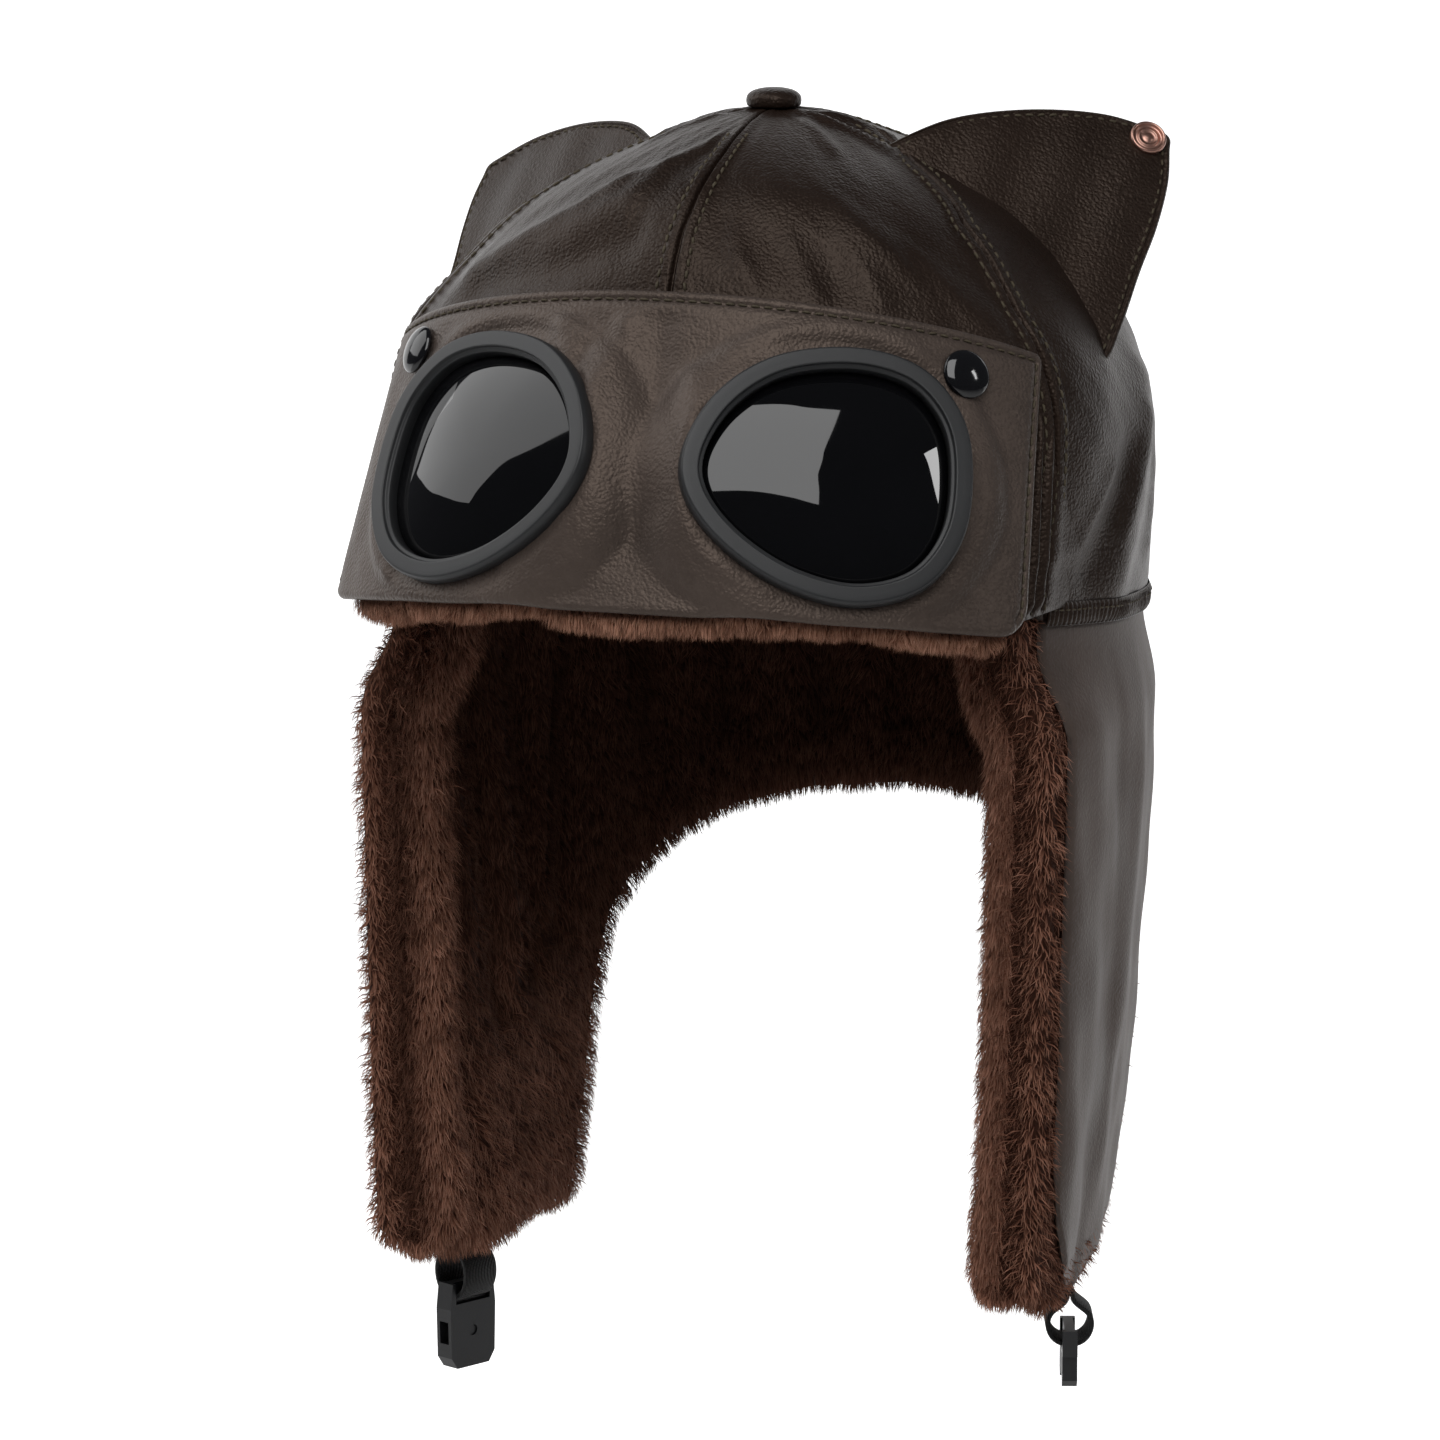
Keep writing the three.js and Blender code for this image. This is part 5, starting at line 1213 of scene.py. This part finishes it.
def grow_fur(name, roots, normals, comb, length, width, material, *replaced, stand=0.6,
             pull=0.38, stray=0.2, shade=1):
    """Tapered ribbons from each root, leaning the way the pile is combed and drawn into tufts."""
    count = len(roots)
    lengths = length * rng.uniform(0.72, 1.12, count)[:, None]
    wander = rng.normal(0, stray, (count, 3))
    lean = unit(normals * stand + comb + wander)
    centres = rng.choice(count, max(count // TUFT_STRANDS, 4), replace=False)
    tree = kdtree.KDTree(len(centres))
    for k, index in enumerate(centres):
        tree.insert(roots[index], k)
    tree.balance()
    nearest = centres[[tree.find(root)[1] for root in roots]]
    tuft_lean = unit(normals * stand + comb + wander * 0.8)
    tuft_tip = (roots + tuft_lean * lengths)[nearest]
    tip = roots + lean * lengths
    tip = tip + (tuft_tip - tip) * (pull * rng.uniform(0.5, 1.0, count)[:, None])
    middle = roots + unit(normals * (stand + 0.5) + comb * 0.8 + wander) * lengths * 0.5
    middle = middle + (tip - middle) * 0.12
    across = unit(np.cross(tip - roots, normals) + rng.normal(0, 0.25, (count, 3)))
    half = (width / 2) * rng.uniform(0.8, 1.2, count)[:, None]
    verts = np.stack([
        roots - across * half, roots + across * half,
        middle - across * half * 0.8, middle + across * half * 0.8, tip,
    ], 1)
    start = (np.arange(count) * 5)[:, None]
    quads = (start + np.array([0, 1, 3, 2])).tolist()
    tips = (start + np.array([2, 3, 4])).tolist()
    piece = finish_mesh(name, verts.reshape(-1, 3), quads + tips, material, "fur", *replaced)
    along = np.tile([0.0, 0.0, 0.5, 0.5, 1.0], count)
    tuft_tone = rng.random(count)[nearest]
    # The shade factor darkens the tone: painted shade where a piece passes it in, 1 elsewhere
    tone = (0.4 * tuft_tone + 0.6 * rng.random(count)) * shade
    for key, values in (("along", along), ("tone", np.repeat(tone, 5))):
        layer = piece.data.attributes.new(key, "FLOAT", "POINT")
        layer.data.foreach_set("value", values.astype(np.float32))


def grid_normals(points):
    """Normals of a grid of points, all on one side of it."""
    return unit(np.cross(np.gradient(points, axis=0), np.gradient(points, axis=1)))


# Fur of the flaps: where it starts in front, how thick it lies and how it rolls over its edge
FUR_FRONT = FLAP_FRONT - 6.5
FUR_EDGE = -5.0
FUR_BACK = -2.5
FUR_THICKNESS = 8.0
FUR_ROLL = 8.0
FUR_BELOW_FLAP = 1.5
FUR_ABOVE_CURTAIN = 3.5
FUR_NOSE = 5
FUR_NEAR = np.array([0, 0.3, 0.9, 1.8, 3, 4.5, 6, 7.5, 9])

# Folds of the fur: from angle and height to angle and height in mm, width and depth in mm
FUR_FOLDS = [
    (72, -4, 76, -84, 5.0, -6.21), (78, -4, 83, -90, 6.0, 3.24), (85, -6, 92, -112, 5.5, -6.48),
    (94, -4, 98, -100, 6.5, 3.51), (103, -6, 103, -104, 5.5, -6.21), (111, -5, 108, -90, 6.0, 2.97),
    (119, -6, 111, -96, 5.5, -5.67), (127, -5, 124, -60, 5.0, 2.16), (136, -5, 133, -48, 4.5, -3.51),
    (150, -5, 148, -45, 4.5, -3.51), (165, -5, 166, -45, 4.5, -3.24), (180, -5, 180, -45, 5.0, -2.7),
]


def fur_foot(angle):
    """Height of the fur's lower edge, which is squarer in front and behind than the leather's."""
    side = np.abs(np.degrees(angle))
    to_curtain = smoothstep((side - 122) / 16)
    below = FUR_BELOW_FLAP - (FUR_ABOVE_CURTAIN + FUR_BELOW_FLAP) * to_curtain
    below = below + 6 * bell(side, 109, 6)
    nearer = np.interp(side, [FUR_FRONT, 80], [71, 80])
    return -skirt_drop(np.radians(np.maximum(nearer, side * (side > 80)))) - below


def edge_distance(arc, height):
    """Distance to the fur's front and lower edge in the unrolled flap."""
    line = np.radians(np.linspace(FUR_FRONT, 182, 400))
    edge = np.stack([(np.degrees(line) - FUR_FRONT) * CROWN_ARC, fur_foot(line)], -1)
    places = np.stack([arc.ravel(), height.ravel()], -1)
    nearest = np.full(len(places), np.inf)
    for a, b in zip(edge[:-1], edge[1:]):
        step = b - a
        t = np.clip((places - a) @ step / (step @ step), 0, 1)
        nearest = np.minimum(nearest, np.linalg.norm(places - a - t[:, None] * step, axis=1))
    return np.minimum(nearest.reshape(arc.shape), arc)


def fur_fold_relief(degrees, height):
    """How far the folds raise or sink the fur's inner face."""
    return laid_relief(degrees, height, CROWN_ARC, 1, FUR_FOLDS)


def flap_fur_grids(sign):
    """Inner and outer face of the fur on one flap and half the curtain, with its edge distances."""
    run = np.concatenate([
        FUR_NEAR, np.linspace(10.5, 88, 42), np.linspace(89, 102, 18),
        np.linspace(104, (180 - FUR_FRONT) * CROWN_ARC, 28),
    ])
    degrees = FUR_FRONT + run / CROWN_ARC
    angle = np.radians(degrees)[None]
    foot = fur_foot(angle)
    head = hem_height(angle) + 1.5
    near = foot + FUR_NEAR[-1]
    level = np.linspace(0, 1, 46)[1:, None]
    height = np.concatenate([foot + FUR_NEAR[:, None], near + (head - near) * level])
    arc = run[None] + 0 * height
    away = edge_distance(arc, height)
    angle = angle - np.radians(FUR_NOSE * bell(arc, 0, 6) / CROWN_ARC)
    rear = smoothstep((degrees - 107) / 8) * (1 - smoothstep((degrees - 127) / 6))
    roll = 5.5 * bell(arc, 8, 7) + 1.5 * bell(height - foot, 12, 12) - 3.6 * bell(away, 4, 9) * rear
    folds = fur_fold_relief(np.degrees(angle), height) * smoothstep((away - 4) / 10)
    inner = FUR_EDGE - (FUR_THICKNESS + roll + folds) * rounded(away / FUR_ROLL)
    tucked = FUR_BACK - (FUR_BACK - FUR_EDGE) * (1 - rounded(away / 2.5))
    bulge = 5.4 * rounded(arc / 5) * (1 - smoothstep((arc - 5) / 5))
    outer = tucked + bulge * smoothstep((height - foot) / 4)
    signed = angle * sign
    return skirt_point(signed, height, inner), skirt_point(signed, height, outer), arc, away


def check_inward(points, normals, inward=True):
    """Turns the normals so that they point to the axis, or away from it."""
    middle = points[len(points) // 2, points.shape[1] // 3]
    facing = normals[len(points) // 2, points.shape[1] // 3]
    towards = np.dot(facing[:2], -middle[:2]) > 0
    return normals if towards == inward else -normals


def crown_fur_grid():
    share, angle = np.meshgrid(np.linspace(0, 1, 50), np.linspace(-math.pi, math.pi, 121),
                               indexing="ij")
    first = row_at(hem_height(angle))
    row = first + (LAST_ROW - first) * share * 0.985
    return crown_point(angle, row, np.full_like(angle, FUR_BACK - 6))


def front_fur_grid():
    """Fur edge under the panel: from behind the panel's foot round to the crown's front."""
    turn, across = np.meshgrid(np.linspace(0, 1, 16), np.linspace(-0.95, 0.95, 170), indexing="ij")
    drop = 0.9 * np.sin(across * 7 + 0.9) + 0.6 * np.sin(across * 17 + 2) + 0.35 * np.sin(across * 41)
    swing = np.sin(turn * math.pi / 2)
    level = 0.06 - (0.098 + 0.014 * drop) * swing
    depth = 7.2 - 3.4 * swing
    outer = panel_face(across, level) - panel_normal(across, level) * depth[..., None]
    reach = np.hypot(outer[..., 0] * CROWN_FRONT / CROWN_HALF_WIDTH, outer[..., 1])
    inner = outer.copy()
    inner[..., :2] *= np.minimum(CROWN_FRONT * SECTIONS[0, 2] / reach, 1)[..., None]
    inner[..., 2] += 4 * turn
    return outer + (inner - outer) * smoothstep((turn - 0.25) / 0.75)[..., None]


def down_comb(normals, amount):
    """Pile combed straight down."""
    return np.zeros_like(normals) - [0, 0, amount]


def backing(name, points):
    faces = grid_faces(*points.shape[:2]).tolist()
    finish_mesh(f"fur_backing_{name}", points.reshape(-1, 3), faces, fur_base, "fur")


FLAP_STRANDS = 45000
EDGE_STRANDS = 9000
CROWN_STRANDS = 15000
FRONT_STRANDS = 20000


def flap_painted_shade(roots):
    """Painted shade and light on the strands inside a flap: darker far in and in the folds' valleys, a
    little lighter on their ridges.
    """
    side = np.degrees(np.abs(np.arctan2(roots[:, 0], -roots[:, 1])))
    far_in_painted_shade = smoothstep((side - FUR_FRONT - 3) / 22) * smoothstep((roots[:, 2] + 135) / 50)
    return (1 - 0.85 * far_in_painted_shade) * np.clip(1 + 0.16 * fur_fold_relief(side, roots[:, 2]), 0.15, 1.3)


def flap_roots(points, inward, arc, count, weight):
    """Roots on one face of a flap's fur; at the front edge they point forwards."""
    normals = check_inward(points, grid_normals(points), inward)
    forward = unit(-np.gradient(points, axis=1))
    nose = bell(arc, 0, 3.5)[..., None]
    return scatter(points, unit(normals * (1 - nose) + forward * nose), count, weight)


def make_flap_fur(name, sign, *replaced):
    inner, outer, arc, away = flap_fur_grids(sign)
    front = bell(arc, 0, 2.5)
    backing(f"inner_{name}", inner)
    weight = 1 + 0.9 * bell(away, 0, 14) + 3.5 * front
    roots, out = flap_roots(inner, True, arc, FLAP_STRANDS, weight)
    # The flap's strands carry painted shade in their tone: darker far in and between the folds, a little
    # lighter on the ridges
    grow_fur(f"fur_flap_{name}", roots, out, down_comb(out, 0.85), 6.0, 0.36, fur, *replaced,
             stand=0.62, pull=0.3, stray=0.27, shade=flap_painted_shade(roots))
    backing(f"outer_{name}", outer)
    roots, out = flap_roots(outer, False, arc, EDGE_STRANDS, (away < 9) * (1 + 3 * front))
    grow_fur(f"fur_edge_{name}", roots, out, down_comb(out, 0.85), 5.0, 0.36, fur,
             pull=0.15, stray=0.4)


def make_crown_fur():
    points = crown_fur_grid()
    backing("crown", points)
    roots, out = scatter(points, check_inward(points, grid_normals(points)), CROWN_STRANDS)
    # The crown's strands use the darkened fur: painted shade of the crown's inside
    grow_fur("fur_crown", roots, out, down_comb(out, 0.7), 8.0, 0.7, fur_painted_shade, stand=0.7)


def make_front_fur():
    points = front_fur_grid()
    normals = grid_normals(points)
    if normals[2, 85, 1] > 0:
        normals = -normals
    backing("front", points)
    roots, out = scatter(points, normals, FRONT_STRANDS)
    comb = down_comb(out, 0.9) - [0, 0.15, 0]
    grow_fur("fur_front", roots, out, comb, 5.2, 0.3, fur_light, "front_fur",
             stand=0.42, pull=0.5, stray=0.3)


# Strap ends: half the loop's outline in half widths and drops, and the webbing's section in mm
LOOP = np.array([[0.16, 0.0], [0.30, 0.16], [0.86, 0.38], [1.0, 0.62], [0.80, 0.86], [0.34, 1.0]])
LOOP_HALF_WIDTH = 6.2
LOOP_POINTS = 96
LOOP_SECTION = [
    (0.0, -5.2), (0.0, 5.2), (0.25, 5.5), (1.05, 5.5), (1.3, 5.2), (1.3, -5.2), (1.05, -5.5),
    (0.25, -5.5),
]
STRAP_BEHIND = 9

# Turn and drop in mm of each strap's loop
STRAPS = {"right": (math.radians(-25), 17), "left": (math.radians(20), 14)}


def make_straps():
    for name, (turn, drop) in STRAPS.items():
        angle = np.array(SIDES[name] * math.acos(STRAP_BEHIND / (CROWN_FRONT * SECTIONS[0, 2])))
        foot = skirt_point(angle, -skirt_drop(angle), np.array(-WALL / 2))
        half = LOOP * np.array([LOOP_HALF_WIDTH, -drop])
        ring = closed_spline(np.concatenate([half, (half * [-1, 1])[::-1]]), LOOP_POINTS)
        verts = np.concatenate([np.insert(offset_ring(ring, inset), 1, place, axis=1)
                                for inset, place in LOOP_SECTION])
        verts = verts @ np.array(Matrix.Rotation(turn, 3, "Z")).T + foot - [0, 0, CLEARANCE]
        finish_mesh(f"webbing_loop_{name}", verts, tube_faces(len(LOOP_SECTION), LOOP_POINTS),
                    webbing, "webbing", f"strap_loop_{name}")


def colour_buckle():
    """The buckle's solids are shown as they are, in the scene's plastic."""
    for node in ("buckle_socket", "buckle_prong"):
        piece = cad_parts[node]
        piece.data.materials.clear()
        piece.data.materials.append(buckle_plastic)


# Camera, light and floor, in metres
CAMERA_AZIMUTH = math.radians(20)
CAMERA_ELEVATION = math.radians(10)
CAMERA_DISTANCE = 1.8
CAMERA_LENS = 175.5
CAMERA_SENSOR = 36
LOOK_HEIGHT = -0.1447
LOOK_LEFT = 0.0136
LIGHT_TARGET = Vector((0, 0, -0.08))
FLOOR_HEIGHT = -0.42
FLOOR_FRONT = -3.0
FLOOR_BACK = 0.2
SHEET_HALF_WIDTH = 3.2
WORLD_COLOUR = (0.9, 0.93, 1, 1)
WORLD_STRENGTH = 0.07
BACKDROP_GLOW = 0.8

# Softboxes: azimuth and elevation in degrees, distance, width and height in metres, power in watts
SOFTBOXES = {
    "softbox_left": (-84, 36, 1.6, 1.4, 1.5, 13),
    "softbox_top_front": (14, 50, 1.6, 1.1, 1.5, 19),
    "softbox_right": (89, 26, 1.7, 0.15, 0.45, 2.2),
}

# Backdrop from the floor's back edge on: depth and height over the floor
BACKDROP_SWEEP = [(FLOOR_BACK, 0), (1.7, 0), (2.3, 0.08), (2.6, 0.42), (2.7, 2.22)]


def direction(azimuth, elevation):
    return Vector((math.sin(azimuth) * math.cos(elevation), -math.cos(azimuth) * math.cos(elevation),
                   math.sin(elevation)))


def aim(thing, target):
    thing.rotation_euler = (target - thing.location).to_track_quat("-Z", "Y").to_euler()


def make_camera():
    camera = bpy.data.objects.new("camera", bpy.data.cameras.new("camera"))
    bpy.context.scene.collection.objects.link(camera)
    camera.data.sensor_width = CAMERA_SENSOR
    camera.data.lens = CAMERA_LENS
    screen_right = Vector((math.cos(CAMERA_AZIMUTH), math.sin(CAMERA_AZIMUTH), 0))
    target = -LOOK_LEFT * screen_right + Vector((0, 0, LOOK_HEIGHT))
    camera.location = target + CAMERA_DISTANCE * direction(CAMERA_AZIMUTH, CAMERA_ELEVATION)
    aim(camera, target)
    bpy.context.scene.camera = camera


def softbox(name, azimuth, elevation, distance, width, height, power):
    light = bpy.data.objects.new(name, bpy.data.lights.new(name, "AREA"))
    bpy.context.scene.collection.objects.link(light)
    light.data.shape = "RECTANGLE"
    light.data.size = width
    light.data.size_y = height
    light.data.energy = power
    towards = direction(math.radians(azimuth), math.radians(elevation))
    light.location = LIGHT_TARGET + distance * towards
    aim(light, LIGHT_TARGET)


def backdrop(name, profile, strength):
    """Sheet swept sideways along a profile of depth and height, square to the camera."""
    verts = [(x, y, z + FLOOR_HEIGHT) for y, z in profile for x in (-SHEET_HALF_WIDTH, SHEET_HALF_WIDTH)]
    faces = [(2 * k, 2 * k + 1, 2 * k + 3, 2 * k + 2) for k in range(len(profile) - 1)]
    mesh = bpy.data.meshes.new(name)
    mesh.from_pydata(verts, [], faces)
    mesh.polygons.foreach_set("use_smooth", [True] * len(mesh.polygons))
    sheet = bpy.data.objects.new(name, mesh)
    bpy.context.scene.collection.objects.link(sheet)
    sheet.rotation_euler = (0, 0, CAMERA_AZIMUTH)
    material, _, shader = new_material(name, (0.85, 0.85, 0.85), 0.9, 0.1)
    shader.inputs["Emission Color"].default_value = (1, 1, 1, 1)
    shader.inputs["Emission Strength"].default_value = strength
    mesh.materials.append(material)


def make_studio():
    for name, values in SOFTBOXES.items():
        softbox(name, *values)
    backdrop("floor", [(FLOOR_FRONT, 0), (FLOOR_BACK, 0)], 0.0)
    backdrop("backdrop", smooth_profile(BACKDROP_SWEEP), BACKDROP_GLOW)
    world = bpy.data.worlds.new("studio")
    bpy.context.scene.world = world
    world.use_nodes = True
    background = world.node_tree.nodes["Background"]
    background.inputs["Color"].default_value = WORLD_COLOUR
    background.inputs["Strength"].default_value = WORLD_STRENGTH
    bpy.context.scene.view_settings.view_transform = "Standard"


make_camera()
make_studio()
make_crown()
seam_runs = seam_stitches()
make_button()
hem_runs = make_hem_band()
make_skirt()
panel_runs = make_panel()
make_goggles()
make_snaps()
gusset_runs = make_gussets()
wing_runs = make_wings()
make_wing_snap()
make_stitches("crown_stitches", seam_runs + gusset_runs + hem_runs, "crown_leather")
make_stitches("panel_stitches", panel_runs, "panel_leather")
make_stitches("wing_stitches", wing_runs, "crown_leather")
make_flap_fur("right", SIDES["right"], "fur_lining")
make_flap_fur("left", SIDES["left"])
make_crown_fur()
make_front_fur()
make_straps()
colour_buckle()
